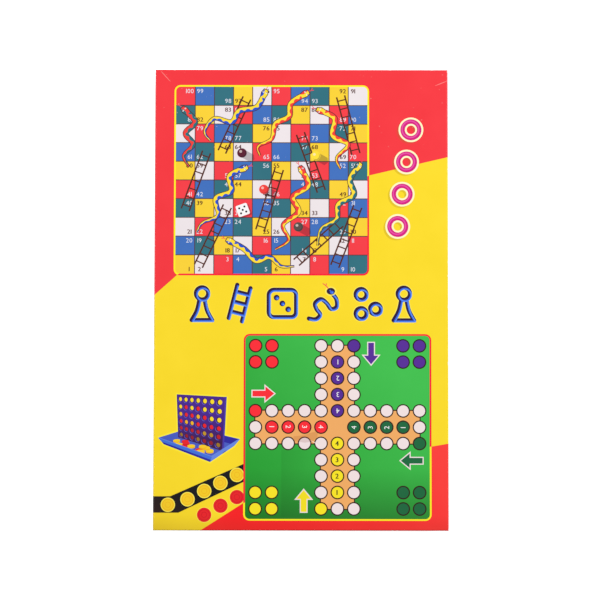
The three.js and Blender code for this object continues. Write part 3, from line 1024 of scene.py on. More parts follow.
def partition(outline, shapes, creases):
    """Splits an outline along shapes and creases. Gives points, triangles and each point's origins."""
    points, edges = [], []
    for loop in [outline, *(shape for _, shape in shapes)]:
        first = len(points)
        points.extend(Vector(point) for point in loop)
        edges.extend((first + i, first + (i + 1) % len(loop)) for i in range(len(loop)))
    for start, end in creases:
        edges.append((len(points), len(points) + 1))
        points.extend((Vector(start), Vector(end)))
    flat, _, triangles, origins, _, _ = delaunay_2d_cdt(points, edges, [], 0, CUT_ACCURACY, True)
    flat, triangles = np.array(flat), np.array(triangles)
    kept = triangles[inside(outline, flat[triangles].mean(axis=1))]
    return flat, kept, origins


def inside(outline, spots):
    """Which of the spots lie inside an outline."""
    x, y = spots.T
    crossed = np.zeros(len(spots), bool)
    for (x0, y0), (x1, y1) in zip(outline, [*outline[1:], outline[0]]):
        if y0 != y1:
            crossed ^= ((y0 > y) != (y1 > y)) & (x < x0 + (y - y0) * (x1 - x0) / (y1 - y0))
    return crossed


def painted(places, shapes, base):
    """Colours for the corners of triangles, with later shapes over earlier ones."""
    middles = places.mean(axis=1)
    by_x = np.argsort(middles[:, 0])
    sorted_x = middles[by_x, 0]
    colours = np.empty((*places.shape[:2], 4))
    colours[:] = (*PIGMENTS[base][:3], 1)
    for ink, outline in shapes:
        across, up = [point[0] for point in outline], [point[1] for point in outline]
        start, end = np.searchsorted(sorted_x, (min(across), max(across)))
        chosen = by_x[start:end]
        heights = middles[chosen, 1]
        chosen = chosen[(heights >= min(up)) & (heights <= max(up))]
        chosen = chosen[inside(outline, middles[chosen])]
        if isinstance(ink, str):
            over = np.array(PIGMENTS[ink])
        else:
            first, second, fade_from, fade_to = ink
            way = np.array(fade_to - fade_from)
            share = np.clip((places[chosen] - np.array(fade_from)) @ way / way.dot(way), 0, 1)[..., None]
            low, high = np.array(PIGMENTS[first]), np.array(PIGMENTS[second])
            over = low + share * (high - low)
        under = colours[chosen][..., :3]
        colours[chosen, :, :3] = under + over[..., 3:] * (over[..., :3] - under)
    return colours


def boundary_loop(triangles):
    """The vertices round the outside, in order."""
    sides = {(int(t[i]), int(t[(i + 1) % 3])) for t in triangles for i in range(3)}
    following = {a: b for a, b in sides if (b, a) not in sides}
    loop = [min(following)]
    while following[loop[-1]] != loop[0]:
        loop.append(following[loop[-1]])
    return loop


def sheet_object(name, outline, shapes, base, creases, front, back, plain, flip=False):
    """A thin closed sheet: a printed front, a plain back and the cut edge round them."""
    flat, printed, _ = partition(outline, shapes, creases)
    loop = boundary_loop(printed)
    rim = flat[loop]
    plain_flat, unprinted, origins = partition([tuple(point) for point in rim], [], creases)
    at_rim = {source: i for i, sources in enumerate(origins) for source in sources if source < len(rim)}

    low, high = rim.min(axis=0), rim.max(axis=0)
    print_scale = PRINT_SHARE / max(high - low)
    plain_scale = PLAIN_SHARE * print_scale
    plain_start = (2 * MAP_MARGIN + (high[0] - low[0]) * print_scale, MAP_MARGIN)
    edge_level = 3 * MAP_MARGIN + (high[1] - low[1]) * plain_scale
    edge_reach = (high[0] - low[0]) * plain_scale

    first = len(flat)
    plain_colour = [*PIGMENTS[plain][:3], 1]
    faces = [list(map(int, triangle)) for triangle in printed]
    colours = painted(flat[printed], shapes, base).reshape(-1, 4).tolist()
    places = (MAP_MARGIN + (flat[printed] - low) * print_scale).reshape(-1, 2).tolist()
    backs = unprinted[:, ::-1]
    faces += [[first + int(i) for i in triangle] for triangle in backs]
    places += (np.array(plain_start) + (plain_flat[backs] - low) * plain_scale).reshape(-1, 2).tolist()
    for i, corner in enumerate(loop):
        after = (i + 1) % len(loop)
        faces.append([loop[after], corner, first + at_rim[i], first + at_rim[after]])
        left, right = (plain_start[0] + edge_reach * k / len(loop) for k in (i, i + 1))
        top = edge_level + MAP_MARGIN
        places += [[right, top], [left, top], [left, edge_level], [right, edge_level]]
    colours += [plain_colour] * (len(places) - len(colours))
    if flip:
        faces, colours, places = flipped(faces, colours, places)

    used = sorted({corner for face in faces for corner in face})
    order = {corner: i for i, corner in enumerate(used)}
    vertices = [front(*flat[i]) if i < first else back(*plain_flat[i - first]) for i in used]
    mesh = bpy.data.meshes.new(name)
    mesh.from_pydata([Vector(vertex) * MM for vertex in vertices], [],
                     [[order[corner] for corner in face] for face in faces])
    ink = mesh.color_attributes.new("ink", "FLOAT_COLOR", "CORNER")
    ink.data.foreach_set("color", [value for colour in colours for value in colour])
    layer = mesh.uv_layers.new(name="OFBake")
    layer.data.foreach_set("uv", [value for place in places for value in place])
    return new_object(name, mesh)


def flipped(faces, colours, corners_uv):
    """Faces turned over, with the colours and map places of their corners."""
    turned, tones, places = [], [], []
    start = 0
    for face in faces:
        count = len(face)
        turned.append(list(reversed(face)))
        tones.extend(reversed(colours[start:start + count]))
        places.extend(reversed(corners_uv[start:start + count]))
        start += count
    return turned, tones, places


# Cartons: the lid and the base are each folded from one blank

def bend(distance, radius):
    """How far a sheet goes out and down past the start of a right-angled fold, and its angle there."""
    arc = radius * math.pi / 2
    if distance <= 0:
        return distance, 0, 0
    if distance < arc:
        angle = distance / radius
        return radius * math.sin(angle), radius * (1 - math.cos(angle)), angle
    return radius, radius + distance - arc, math.pi / 2


class Blank:
    """A carton's flat blank: a face, two long walls with tabs at their ends and two end walls with ears."""

    def __init__(self, width, length, depth):
        self.flat_x = width / 2 - CREASE_RADIUS
        self.flat_y = length / 2 - CREASE_RADIUS
        self.arc = CREASE_RADIUS * math.pi / 2
        self.wall = depth - CREASE_RADIUS + self.arc
        self.corner = length / 2 - CALIPER - GLUE_GAP - CREASE_RADIUS
        self.half_width = width / 2

    def outline(self):
        top, rim = self.flat_x + self.arc, self.flat_x + self.wall
        seam = self.corner + self.arc
        end_rim = self.flat_y + self.wall
        side = self.half_width - GLUE_GAP / 2
        quarter = [
            (rim, seam),
            (rim - TAB_INSET, seam),
            (rim - TAB_INSET - TAB_TAPER, seam + TAB_LENGTH),
            (top + TAB_INSET + TAB_TAPER, seam + TAB_LENGTH),
            (top + TAB_INSET, seam),
            (top + CORNER_SLANT, seam),
            (top, self.corner),
            (self.flat_x, self.corner),
            (side, self.corner + GLUE_GAP / 2),
            (side, end_rim),
        ]
        mirrored = [(-x, y) for x, y in reversed(quarter)]
        top_half = quarter + mirrored
        return top_half + [(-x, -y) for x, y in top_half]

    def creases(self):
        far = self.half_width + BLEED
        tall = self.flat_y + BLEED
        lines = []
        for step in range(CREASE_STEPS + 1):
            past = self.arc * step / CREASE_STEPS
            for side in (-1, 1):
                u, v, seam = self.flat_x + past, self.flat_y + past, self.corner + past
                lines.append(((side * u, -tall), (side * u, tall)))
                lines.append(((-self.half_width, side * v), (self.half_width, side * v)))
                for hand in (-1, 1):
                    lines.append(((hand * self.flat_x, side * seam), (hand * far, side * seam)))
        return lines

    def folded(self, u, v):
        """A blank point's place on the closed carton, whose face is at zero, and the way it faces."""
        hand_x, hand_y = math.copysign(1, u), math.copysign(1, v)
        if abs(v) > self.corner + TOUCHING and abs(u) < self.half_width:
            return self.end_wall(u, v, hand_x, hand_y)
        out, drop, angle = bend(abs(u) - self.flat_x, CREASE_RADIUS)
        along, inward, turn = abs(v) - self.corner, 0, 0
        if out > 0:
            along, inward, turn = bend(abs(v) - self.corner, CREASE_RADIUS)
        place = Vector((hand_x * (self.flat_x + out - inward), hand_y * (self.corner + along), -drop))
        facing = Vector((hand_x * math.sin(angle) * math.cos(turn), hand_y * math.sin(angle) * math.sin(turn),
                         math.cos(angle)))
        return place, facing

    def end_wall(self, u, v, hand_x, hand_y):
        """A place on an end of the face or its wall, whose ears round the corner with the long folds."""
        across, ear_drop, lean = bend(abs(u) - self.flat_x, CREASE_RADIUS)
        out, drop, angle = bend(abs(v) - self.flat_y, CREASE_RADIUS)
        share = 1 - 2 * angle / math.pi
        reach = share * across + (1 - share) * (abs(u) - self.flat_x)
        level = -drop - share * ear_drop
        place = Vector((hand_x * (self.flat_x + reach), hand_y * (self.flat_y + out), level))
        lean *= share
        facing = Vector((hand_x * math.sin(lean) * math.cos(angle), hand_y * math.sin(angle),
                         math.cos(lean) * math.cos(angle)))
        return place, facing


def carton(name, width, length, depth, level, way, shapes, base, plain):
    """A folded carton half whose face is at a level, with walls down from it for way 1 or up for way -1."""
    blank = Blank(width, length, depth)

    def front(u, v):
        place, _ = blank.folded(u, v)
        return place.x, place.y, level + way * place.z

    def back(u, v):
        place, facing = blank.folded(u, v)
        inner = place - CALIPER * facing
        return inner.x, inner.y, level + way * inner.z

    return sheet_object(name, blank.outline(), shapes, base, blank.creases(), front, back, plain, way < 0)


# Materials

def handled_surface():
    """Shared group: uneven tone, uneven gloss and a fine grain."""
    group = bpy.data.node_groups.new("handled_surface", "ShaderNodeTree")
    for label, kind in (("Colour", "Color"), ("Tone Spread", "Float"), ("Tone Scale", "Float"),
                        ("Grain Scale", "Float"), ("Roughness", "Float"), ("Roughness Spread", "Float")):
        group.interface.new_socket(label, in_out="INPUT", socket_type="NodeSocket" + kind)
    for label, kind in (("Colour", "Color"), ("Roughness", "Float"), ("Height", "Float")):
        group.interface.new_socket(label, in_out="OUTPUT", socket_type="NodeSocket" + kind)
    nodes, link = group.nodes, group.links.new
    start, end = nodes.new("NodeGroupInput"), nodes.new("NodeGroupOutput")
    where = nodes.new("ShaderNodeTexCoord")

    def noise(scale, detail):
        node = nodes.new("ShaderNodeTexNoise")
        node.inputs["Detail"].default_value = detail
        link(where.outputs["Object"], node.inputs["Vector"])
        link(start.outputs[scale], node.inputs["Scale"])
        return node.outputs["Fac"]

    def about(middle, spread, share):
        """The middle value, plus or minus a spread."""
        off = nodes.new("ShaderNodeMath")
        off.operation = "SUBTRACT"
        link(share, off.inputs[0])
        off.inputs[1].default_value = 0.5
        node = nodes.new("ShaderNodeMath")
        node.operation = "MULTIPLY_ADD"
        link(off.outputs[0], node.inputs[0])
        link(start.outputs[spread], node.inputs[1])
        if isinstance(middle, str):
            link(start.outputs[middle], node.inputs[2])
        else:
            node.inputs[2].default_value = middle
        return node.outputs[0]

    tone = nodes.new("ShaderNodeVectorMath")
    tone.operation = "SCALE"
    link(start.outputs["Colour"], tone.inputs[0])
    link(about(1, "Tone Spread", noise("Tone Scale", 5)), tone.inputs["Scale"])
    link(tone.outputs[0], end.inputs["Colour"])
    link(about("Roughness", "Roughness Spread", noise("Tone Scale", 3)), end.inputs["Roughness"])
    link(noise("Grain Scale", 2), end.inputs["Height"])
    return group


SURFACE = handled_surface()


def surface_material(name, colour, tone, grain, roughness, bump, **sockets):
    """A material on the shared surface group, in a fixed colour or, for None, in the printed ink."""
    material = bpy.data.materials.new(name)
    material.use_nodes = True
    tree = material.node_tree
    shader = tree.nodes["Principled BSDF"]
    surface = tree.nodes.new("ShaderNodeGroup")
    surface.node_tree = SURFACE
    if colour is None:
        ink = tree.nodes.new("ShaderNodeAttribute")
        ink.attribute_name = "ink"
        tree.links.new(ink.outputs["Color"], surface.inputs["Colour"])
    else:
        surface.inputs["Colour"].default_value = (*(linear(byte) for byte in colour), 1)
    surface.inputs["Tone Spread"].default_value, surface.inputs["Tone Scale"].default_value = tone
    surface.inputs["Grain Scale"].default_value = grain
    surface.inputs["Roughness"].default_value, surface.inputs["Roughness Spread"].default_value = roughness
    relief = tree.nodes.new("ShaderNodeBump")
    relief.inputs["Strength"].default_value, relief.inputs["Distance"].default_value = bump
    tree.links.new(surface.outputs["Height"], relief.inputs["Height"])
    tree.links.new(surface.outputs["Colour"], shader.inputs["Base Color"])
    tree.links.new(surface.outputs["Roughness"], shader.inputs["Roughness"])
    tree.links.new(relief.outputs["Normal"], shader.inputs["Normal"])
    for label, value in sockets.items():
        shader.inputs[label.replace("_", " ")].default_value = value
    return material


def printed_varnish():
    return surface_material("printed_varnish", None, tone=(0.06, 60), grain=1500, roughness=(0.34, 0.14),
                            bump=(0.06, 0.0001))


def board_varnish():
    return surface_material("board_varnish", None, tone=(0.06, 50), grain=1800, roughness=(0.42, 0.16),
                            bump=(0.12, 0.0001))


def plain_paperboard():
    return surface_material("plain_paperboard", None, tone=(0.14, 220), grain=2400, roughness=(0.82, 0.1),
                            bump=(0.35, 0.0001), Specular_IOR_Level=0.25)


def board_core():
    return surface_material("board_core", (168, 156, 138), tone=(0.3, 700), grain=2600, roughness=(0.9, 0.08),
                            bump=(0.6, 0.0002), Specular_IOR_Level=0.2)


def crease_paper():
    return surface_material("crease_paper", CREASE_PAPER, tone=(0.2, 400), grain=2400, roughness=(0.7, 0.1),
                            bump=(0.3, 0.0001))


PLASTICS = {
    "red": (206, 20, 26),
    "yellow": (242, 184, 18),
    "violet": (84, 40, 140),
    "green": (16, 96, 50),
    "tray": (108, 136, 214),
    "rack": (62, 44, 142),
}


def moulded_plastic(name, gloss):
    """Injection-moulded plastic with a clear coat and a faint moulding grain."""
    return surface_material(name + "_plastic", PLASTICS[name], tone=(0.1, 45), grain=900,
                            roughness=(gloss, 0.14), bump=(0.05, 0.0002), Coat_Weight=0.25,
                            Coat_Roughness=0.12)


def die_plastic():
    return surface_material("die_plastic", None, tone=(0.05, 120), grain=1200, roughness=(0.24, 0.1),
                            bump=(0.04, 0.0001), Coat_Weight=0.3, Coat_Roughness=0.1)


# Pieces

def size_of(node):
    """A node's size and its lowest and highest corners, in millimetres."""
    low, high = (Vector(corner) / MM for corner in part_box(node))
    return high - low, low, high


def finished(piece, body, nodes, material=None):
    """Gives a piece its finish, its body and the nodes that it stands for."""
    if material:
        piece.data.materials.clear()
        piece.data.materials.append(material)
    if nodes:
        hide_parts(*nodes)
    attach(piece, body)


def make_carton():
    size, _, high = size_of("lid")
    lid = carton("lid_carton", *size, high.z, 1, lid_print(), "yellow", "grey_board")
    finished(lid, "lid", ["lid"], printed_varnish())
    size, low, _ = size_of("base")
    base = carton("base_carton", *size, low.z, -1, [], "bare_board", "grey_board")
    finished(base, "box", ["base"], plain_paperboard())


def board_ladders():
    pen = Pen()
    half = BOARD_SIDE / 2
    inner = half - BOARD_MARGIN
    edge = inner + BOARD_LINE
    pen.fill("border_red", rounded(-edge, edge, -edge, edge, BOARD_LINE_CORNER))
    ladders_picture(pen.moved(-inner, -inner, 2 * inner / 10))
    return pen.shapes


def board_ludo():
    pen = Pen()
    step = BOARD_SIDE / 2 / (LUDO_HALF + LUDO_SPARE)
    edge = BOARD_SIDE / 2 - LUDO_MARGIN
    pen.fill("border_red", rounded(-edge, edge, -edge, edge, BOARD_CORNER))
    ludo_picture(pen.moved(0, 0, step), LUDO_HALF, LUDO_HALF)
    return pen.shapes


def leaf_paper(name, body, shapes, half, level, way, material):
    """Printed paper on one face of a leaf: the right half of the picture, or the left one for half -1."""
    gap = FOLD_HALF_GAP
    end = BOARD_SIDE / 2
    corner = rounded(0, end, -end, end, BOARD_CORNER)
    outline = [(half * max(x, gap), y) if x > BOARD_CORNER else (half * gap, math.copysign(end, y))
               for x, y in corner]
    outline = list(dict.fromkeys(outline))
    if half < 0:
        outline.reverse()
    fold = size_of("board_leaf_lower")[1].x - gap

    def front(x, y):
        return fold + abs(x), y, level + way * PAPER

    def back(x, y):
        return fold + abs(x), y, level

    paper = sheet_object(name, outline, shapes, "yellow", [], front, back, "bare_board")
    finished(paper, body, [], material)


def make_board():
    material, core = board_varnish(), board_core()
    for node in ("board_leaf_lower", "board_leaf_upper"):
        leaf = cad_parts[node]
        leaf.data.materials.clear()
        leaf.data.materials.append(core)
    ladders, ludo = board_ladders(), board_ludo()
    _, lower_low, lower_high = size_of("board_leaf_lower")
    _, upper_low, upper_high = size_of("board_leaf_upper")
    leaf_paper("ladders_paper_right", "board_lower", ladders, 1, lower_high.z, 1, material)
    leaf_paper("ladders_paper_left", "board_upper", ladders, -1, upper_low.z, -1, material)
    leaf_paper("ludo_paper_right", "board_upper", ludo, 1, upper_high.z, 1, material)
    leaf_paper("ludo_paper_left", "board_lower", ludo, -1, lower_low.z, -1, material)
    make_crease(lower_low.x, lower_high.z, upper_low.z)


def make_crease(edge, low, high):
    """The paper that joins the two leaves, turned back on itself while the board is shut."""
    steps = CREASE_SECTION_STEPS
    middle, outer = (low + high) / 2, (high - low) / 2
    length = BOARD_SIDE / 2
    section = []
    for radius, order in ((outer, 1), (outer - PAPER, -1)):
        arc = [math.pi / 2 + math.pi * i / steps for i in range(steps + 1)]
        section += [(edge + radius * math.cos(a), middle - radius * math.sin(a)) for a in arc[::order]]
    count = len(section)
    vertices = [(x, y, z) for y in (-length, length) for x, z in section]
    faces = [list(range(count)), list(range(count, 2 * count))]
    faces += [[i, (i + 1) % count, count + (i + 1) % count, count + i] for i in range(count)]
    crease = new_object("board_crease", closed_mesh("board_crease", vertices, faces))
    crease.data.shade_smooth()
    crease.data.materials.append(crease_paper())
    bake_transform(crease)


# Four-in-a-row stand

TRAY_WALL = 1.5
TRAY_FLARE = 6.5
TRAY_FLANGE = 2
TRAY_FLANGE_THICKNESS = 1.6
TRAY_FLOOR = 1.5
TRAY_FOOT = 3
TRAY_CORNER = 8
TRAY_CORNER_STEPS = 10
TRAY_ROUNDING = 0.4
TRAY_GLOSS = 0.36
NOTCH = (26, 2.4)
RIB_THICKNESS = 2
RIB_HEIGHT = 5
RIB_END = 6
RIB_OFFSET = 5.4
COLUMNS = 7
ROWS = 6
COLUMN_PITCH = 19.6
ROW_PITCH = 18
WINDOW_RADIUS = 6.6
WINDOW_SIDES = 36
PANEL = 1.6
PANEL_GAP = 0.2
DIVIDER = 1.2
END_WALL = 3.4
PEG_RADIUS = 0.9
PEG_FIT = 0.3
PEG_SIDES = 20
PEG_MARGIN = 12
BACK_ROUNDING = 0.25
FRONT_ROUNDING = 0.35
RACK_GLOSS = 0.3


def make_tray():
    size, low, high = size_of("stand_tray")
    middle = (low + high) / 2
    spread = TRAY_FLARE + TRAY_WALL + TRAY_FLANGE
    half_x, half_y = size.x / 2 - spread, size.y / 2 - spread
    floor = TRAY_FOOT + TRAY_FLOOR
    lean = TRAY_FLARE / (size.z - floor)
    under = size.z - TRAY_FLANGE_THICKNESS
    section = [
        (lean * (TRAY_FOOT - floor), TRAY_FOOT),
        (-lean * floor, 0),
        (TRAY_WALL - lean * floor, 0),
        (TRAY_WALL + lean * (under - floor), under),
        (spread, under),
        (spread, size.z),
        (TRAY_FLARE, size.z),
        (0, floor),
    ]
    vertices, faces = [], []
    for out, level in section:
        loop = rounded(-half_x - out, half_x + out, -half_y - out, half_y + out, TRAY_CORNER + out,
                       TRAY_CORNER_STEPS)
        vertices.extend((middle.x + x, middle.y + y, low.z + level) for x, y in loop)
    count = len(vertices) // len(section)
    for ring in range(len(section) - 1):
        for i in range(count):
            a, b = ring * count + i, ring * count + (i + 1) % count
            faces.append((a, b, b + count, a + count))
    last = (len(section) - 1) * count
    faces += [list(range(count)), list(range(last, last + count))]
    tray = new_object("moulded_tray", closed_mesh("moulded_tray", vertices, faces))

    ribs = []
    for side in (-1, 1):
        at = middle.y + side * RIB_OFFSET
        reach = half_x - RIB_END
        ribs.append(((-reach, at - RIB_THICKNESS / 2, low.z + floor - TRAY_FLOOR / 2),
                     (reach, at + RIB_THICKNESS / 2, low.z + floor + RIB_HEIGHT)))
    combined(tray, bars("ribs", ribs), "UNION")
    wide, tall = NOTCH
    near, far = middle.y - wide / 2, middle.y + wide / 2
    notch = bars("notch", [((-size.x, near, low.z - 1), (size.x, far, low.z + tall))])
    combined(tray, notch, "DIFFERENCE")
    softened(tray, TRAY_ROUNDING)
    finished(tray, "tray", ["stand_tray"], moulded_plastic("tray", TRAY_GLOSS))


def rack_panel(name, low, size, material):
    panel = grown(
        name, windowed_panel_tree(), Width=size.x * MM, Height=size.y * MM, Thickness=PANEL * MM,
        Columns=COLUMNS, Rows=ROWS, Column_Pitch=COLUMN_PITCH * MM, Row_Pitch=ROW_PITCH * MM,
        Foot=ROW_PITCH / 2 * MM, Window_Radius=WINDOW_RADIUS * MM, Window_Sides=WINDOW_SIDES, Finish=material)
    panel.data.transform(Matrix.Translation((0, low.y * MM, low.z * MM)))
    return panel


def peg_places(low, size):
    across = size.x / 2 - END_WALL / 2
    heights = (PEG_MARGIN, size.y / 2, size.y - PEG_MARGIN)
    return [(side * across, low.y + height) for side in (-1, 1) for height in heights]


def pegs(name, places, radius, bottom, top):
    vertices, faces, sides = [], [], PEG_SIDES
    for x, y in places:
        first = len(vertices)
        ring = ring_points(x, y, radius, sides)
        vertices.extend((*spot, z) for z in (bottom, top) for spot in ring)
        faces += [[first + i for i in range(sides)], [first + sides + i for i in range(sides)]]
        faces += [[first + i, first + (i + 1) % sides, first + sides + (i + 1) % sides, first + sides + i]
                  for i in range(sides)]
    return new_object(name, closed_mesh(name, vertices, faces))


def make_rack():
    material = moulded_plastic("rack", RACK_GLOSS)
    size, low, high = size_of("rack_back")
    front_size, front_low, front_high = size_of("rack_front")
    top = front_low.z - PANEL_GAP
    walls = []
    for gap in range(COLUMNS - 1):
        x = (gap - COLUMNS / 2 + 1) * COLUMN_PITCH
        walls.append(((x - DIVIDER / 2, low.y, low.z + PANEL / 2), (x + DIVIDER / 2, high.y, top)))
    for side in (-1, 1):
        x = side * (size.x - END_WALL) / 2
        walls.append(((x - END_WALL / 2, low.y, low.z + PANEL / 2), (x + END_WALL / 2, high.y, top)))
    back = rack_panel("rack_back_half", low, size, material)
    combined(back, bars("dividers", walls), "UNION")
    places = peg_places(low, size)
    combined(back, pegs("pegs", places, PEG_RADIUS, low.z + PANEL, high.z), "UNION")
    softened(back, BACK_ROUNDING, 2)
    finished(back, "rack", ["rack_back"], material)

    front = rack_panel("rack_front_half", front_low, front_size, material)
    holes = pegs("holes", places, PEG_RADIUS + PEG_FIT, front_low.z - 1, front_high.z + 1)
    combined(front, holes, "DIFFERENCE")
    softened(front, FRONT_ROUNDING)
    finished(front, "rack", ["rack_front"], material)


# Loose pieces

COUNTERS_PER_STACK = 7
COUNTER_SIDES = 40
COUNTER_AIR = 0.04
COUNTER_SLIP = 0.25
PAWN_SIDES = 36
PAWN_BALL = 4.5
PAWN_NECK = 2.55
LOOSE_GLOSS = 0.26


def counter_mesh(radius, thickness):
    """A counter with a raised rim and a raised ring on both faces."""
    half = thickness / 2
    dip = half - 0.5
    upper = [(radius, 0), (radius, half - 0.5), (radius - 0.15, half - 0.15), (radius - 0.5, half),
             (radius - 1.7, half), (radius - 2.0, half - 0.1), (radius - 2.3, dip), (radius - 3.9, dip),
             (radius - 4.1, dip + 0.3), (radius - 4.9, dip + 0.3), (radius - 5.1, dip)]
    profile = [(0, -dip)] + [(r, -z) for r, z in reversed(upper[1:])] + upper + [(0, dip)]
    return lathed("counter", profile, COUNTER_SIDES)


def make_counters():
    size, _, _ = size_of("counter_stack_red_1")
    step = size.z / COUNTERS_PER_STACK
    counter = new_object("counter", counter_mesh(size.x / 2, step - COUNTER_AIR))
    tree = counter_pile_tree()
    for ink in ("red", "yellow"):
        material = moulded_plastic(ink, LOOSE_GLOSS)
        for pile in (1, 2, 3):
            node = f"counter_stack_{ink}_{pile}"
            _, low, high = size_of(node)
            piece = grown(f"counters_{ink}_{pile}", tree, Counter=counter, Count=COUNTERS_PER_STACK,
                          Step=step * MM, Slip=COUNTER_SLIP * MM, Seed=pile, Finish=material)
            middle = (low + high) / 2
            piece.data.transform(Matrix.Translation((middle.x * MM, middle.y * MM, (low.z + step / 2) * MM)))
            finished(piece, "box", [node])
    spent = counter.data
    bpy.data.objects.remove(counter)
    bpy.data.meshes.remove(spent)


def pawn_profile(size):
    """A flared body on a stepped foot, a collar and a ball."""
    base, tall, ball = size.x / 2, size.z, PAWN_BALL
    profile = [(0, 0), (base - 0.4, 0), (base - 0.1, 0.12), (base, 0.4), (base, 1.1), (base - 0.15, 1.45),
               (base - 0.6, 1.65)]
    neck, shoulder = PAWN_NECK, tall - 2 * ball + 0.6
    for i in range(1, 11):
        share = i / 10
        profile.append((neck + (base - 0.9 - neck) * (1 - share) ** 1.7, 1.7 + (shoulder - 1.7) * share))
    middle = tall - ball
    start = math.asin(neck / ball)
    for i in range(1, 13):
        angle = start + (math.pi - start) * i / 12
        profile.append((ball * math.sin(angle) if i < 12 else 0, middle - ball * math.cos(angle)))
    return profile


def make_pawns():
    for ink in ("red", "violet", "yellow", "green"):
        material = bpy.data.materials.get(ink + "_plastic") or moulded_plastic(ink, LOOSE_GLOSS)
        for index in range(1, 5):
            node = f"pawn_{ink}_{index}"
            size, low, high = size_of(node)
            mesh = lathed(node + "_turned", pawn_profile(size), PAWN_SIDES)
            across, along = (low.x + high.x) / 2, (low.y + high.y) / 2
            mesh.transform(Matrix.Translation((across * MM, along * MM, low.z * MM)))
            finished(new_object(node + "_turned", mesh), "box", [node], material)


DIE_SIDE = 12
DIE_ROUNDING = 1.7
DIE_TURN = 0.3
PIP_RADIUS = 1.5
PIP_DEPTH = 0.55
PIP_STEP = 3
PIP_ALLOWANCE = 1.01
PIPS = {
    1: [(0, 0)],
    2: [(-1, -1), (1, 1)],
    3: [(-1, 1), (0, 0), (1, -1)],
    4: [(x, y) for x in (-1, 1) for y in (-1, 1)],
    5: [(x, y) for x in (-1, 1) for y in (-1, 1)] + [(0, 0)],
    6: [(x, y) for x in (-1, 1) for y in (-1, 0, 1)],
}


def make_die():
    _, low, high = size_of("die")
    half = DIE_SIDE / 2
    die = bars("rounded_die", [((-half,) * 3, (half,) * 3)])
    softened(die, DIE_ROUNDING, 5)
    turns = {5: (0, 0), 2: (math.pi, 0), 1: (math.pi / 2, 0), 6: (-math.pi / 2, 0),
             3: (0, math.pi / 2), 4: (0, -math.pi / 2)}
    shape = bmesh.new()
    centres = []
    for count, (about_x, about_y) in turns.items():
        turn = Matrix.Rotation(about_x, 4, "X") @ Matrix.Rotation(about_y, 4, "Y")
        for x, y in PIPS[count]:
            centre = turn @ Vector((x * PIP_STEP, y * PIP_STEP, half + PIP_RADIUS - PIP_DEPTH)) * MM
            centres.append(centre)
            bmesh.ops.create_icosphere(shape, subdivisions=3, radius=PIP_RADIUS * MM,
                                       matrix=Matrix.Translation(centre))
    mesh = bpy.data.meshes.new("pips")
    shape.to_mesh(mesh)
    shape.free()
    combined(die, new_object("pips", mesh), "DIFFERENCE")
    mesh = die.data
    ink = mesh.color_attributes.new("ink", "FLOAT_COLOR", "CORNER")
    reach = PIP_RADIUS * MM * PIP_ALLOWANCE
    for face in mesh.polygons:
        corners = [mesh.vertices[i].co for i in face.vertices]
        hollow = any(all((corner - centre).length < reach for corner in corners) for centre in centres)
        for corner in face.loop_indices:
            ink.data[corner].color = (*PIGMENTS["black" if hollow else "white"][:3], 1)
    place = Matrix.Translation((low + high) / 2 * MM) @ Matrix.Rotation(DIE_TURN, 4, "Z")
    mesh.transform(place)
    finished(die, "box", ["die"], die_plastic())


make_carton()
make_board()
make_tray()
make_rack()
make_counters()
make_pawns()
make_die()


# Stage, lights and camera

FLOOR_SIZE = 12
FLOOR_GLOW = 0.9
FLOOR_BOUNCE = 0.3
FLOOR_GREY = (0.5, 0.5, 0.5, 1)
WHITE_LIGHT = (1, 1, 1, 1)
ROOM_GLOW = 0.16
SOFTBOX_SIZE = (1.0, 1.0)
KEY_PLACE = (1.5, 0.9, 1.5)
KEY_POWER = 48
FILL_PLACE = (-1.6, 0.2, 1.5)
FILL_POWER = 25
PHOTO_ACROSS = 0.3508
CAMERA_DISTANCE = 1.2
CAMERA_TILT = math.radians(3.4)
CAMERA_ROLL = math.radians(0.1)
PHOTO_SIDE = 600
FACE_MIDDLE_PIXEL = (301.2, 298.7)


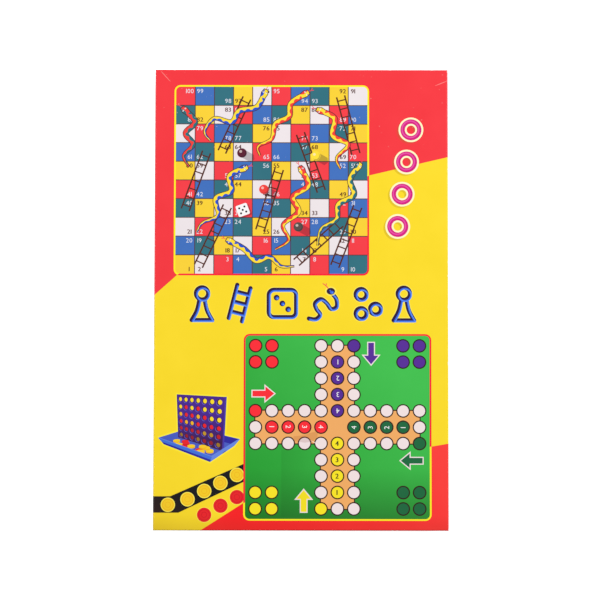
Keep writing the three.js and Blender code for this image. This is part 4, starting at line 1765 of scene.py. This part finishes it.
def make_floor():
    """A floor that looks white and lights the object's sides a little."""
    mesh = bpy.data.meshes.new("floor")
    half = FLOOR_SIZE / 2
    corners = [(-half, -half, 0), (half, -half, 0), (half, half, 0), (-half, half, 0)]
    mesh.from_pydata(corners, [], [(0, 1, 2, 3)])
    floor = new_object("floor", mesh)
    material = bpy.data.materials.new("studio_floor")
    material.use_nodes = True
    tree = material.node_tree
    shader = tree.nodes["Principled BSDF"]
    shader.inputs["Base Color"].default_value = FLOOR_GREY
    shader.inputs["Roughness"].default_value = 0.9
    shader.inputs["Specular IOR Level"].default_value = 0
    shader.inputs["Emission Color"].default_value = WHITE_LIGHT
    ray = tree.nodes.new("ShaderNodeLightPath")
    glow = tree.nodes.new("ShaderNodeMapRange")
    glow.inputs["To Min"].default_value = FLOOR_BOUNCE
    glow.inputs["To Max"].default_value = FLOOR_GLOW
    tree.links.new(ray.outputs["Is Camera Ray"], glow.inputs["Value"])
    tree.links.new(glow.outputs["Result"], shader.inputs["Emission Strength"])
    mesh.materials.append(material)


def softbox(name, place, power):
    """A square soft light that faces the middle of the floor."""
    light = bpy.data.lights.new(name, "AREA")
    light.shape = "RECTANGLE"
    light.size, light.size_y = SOFTBOX_SIZE
    light.energy = power
    lamp = bpy.data.objects.new(name, light)
    lamp.location = place
    lamp.rotation_euler = (-Vector(place)).to_track_quat("-Z", "Y").to_euler()
    bpy.context.scene.collection.objects.link(lamp)


def make_lights():
    world = bpy.data.worlds.new("studio")
    world.use_nodes = True
    room = world.node_tree.nodes["Background"]
    room.inputs["Color"].default_value = WHITE_LIGHT
    room.inputs["Strength"].default_value = ROOM_GLOW
    bpy.context.scene.world = world
    softbox("key_softbox", KEY_PLACE, KEY_POWER)
    softbox("fill_softbox", FILL_PLACE, FILL_POWER)


def make_camera(top):
    camera = bpy.data.cameras.new("camera")
    camera.lens = camera.sensor_width * CAMERA_DISTANCE / PHOTO_ACROSS
    camera.shift_x = (PHOTO_SIDE / 2 - FACE_MIDDLE_PIXEL[0]) / PHOTO_SIDE
    camera.shift_y = (FACE_MIDDLE_PIXEL[1] - PHOTO_SIDE / 2) / PHOTO_SIDE
    holder = bpy.data.objects.new("camera", camera)
    tilt = Matrix.Rotation(CAMERA_TILT, 4, "X")
    roll = Matrix.Rotation(CAMERA_ROLL, 4, "Z")
    face = Matrix.Translation((0, 0, top))
    back_off = Matrix.Translation((0, 0, CAMERA_DISTANCE))
    holder.matrix_world = face @ tilt @ back_off @ roll
    bpy.context.scene.collection.objects.link(holder)
    bpy.context.scene.camera = holder
    bpy.context.scene.view_settings.view_transform = "Standard"


make_floor()
make_lights()
make_camera(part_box("lid")[1][2])
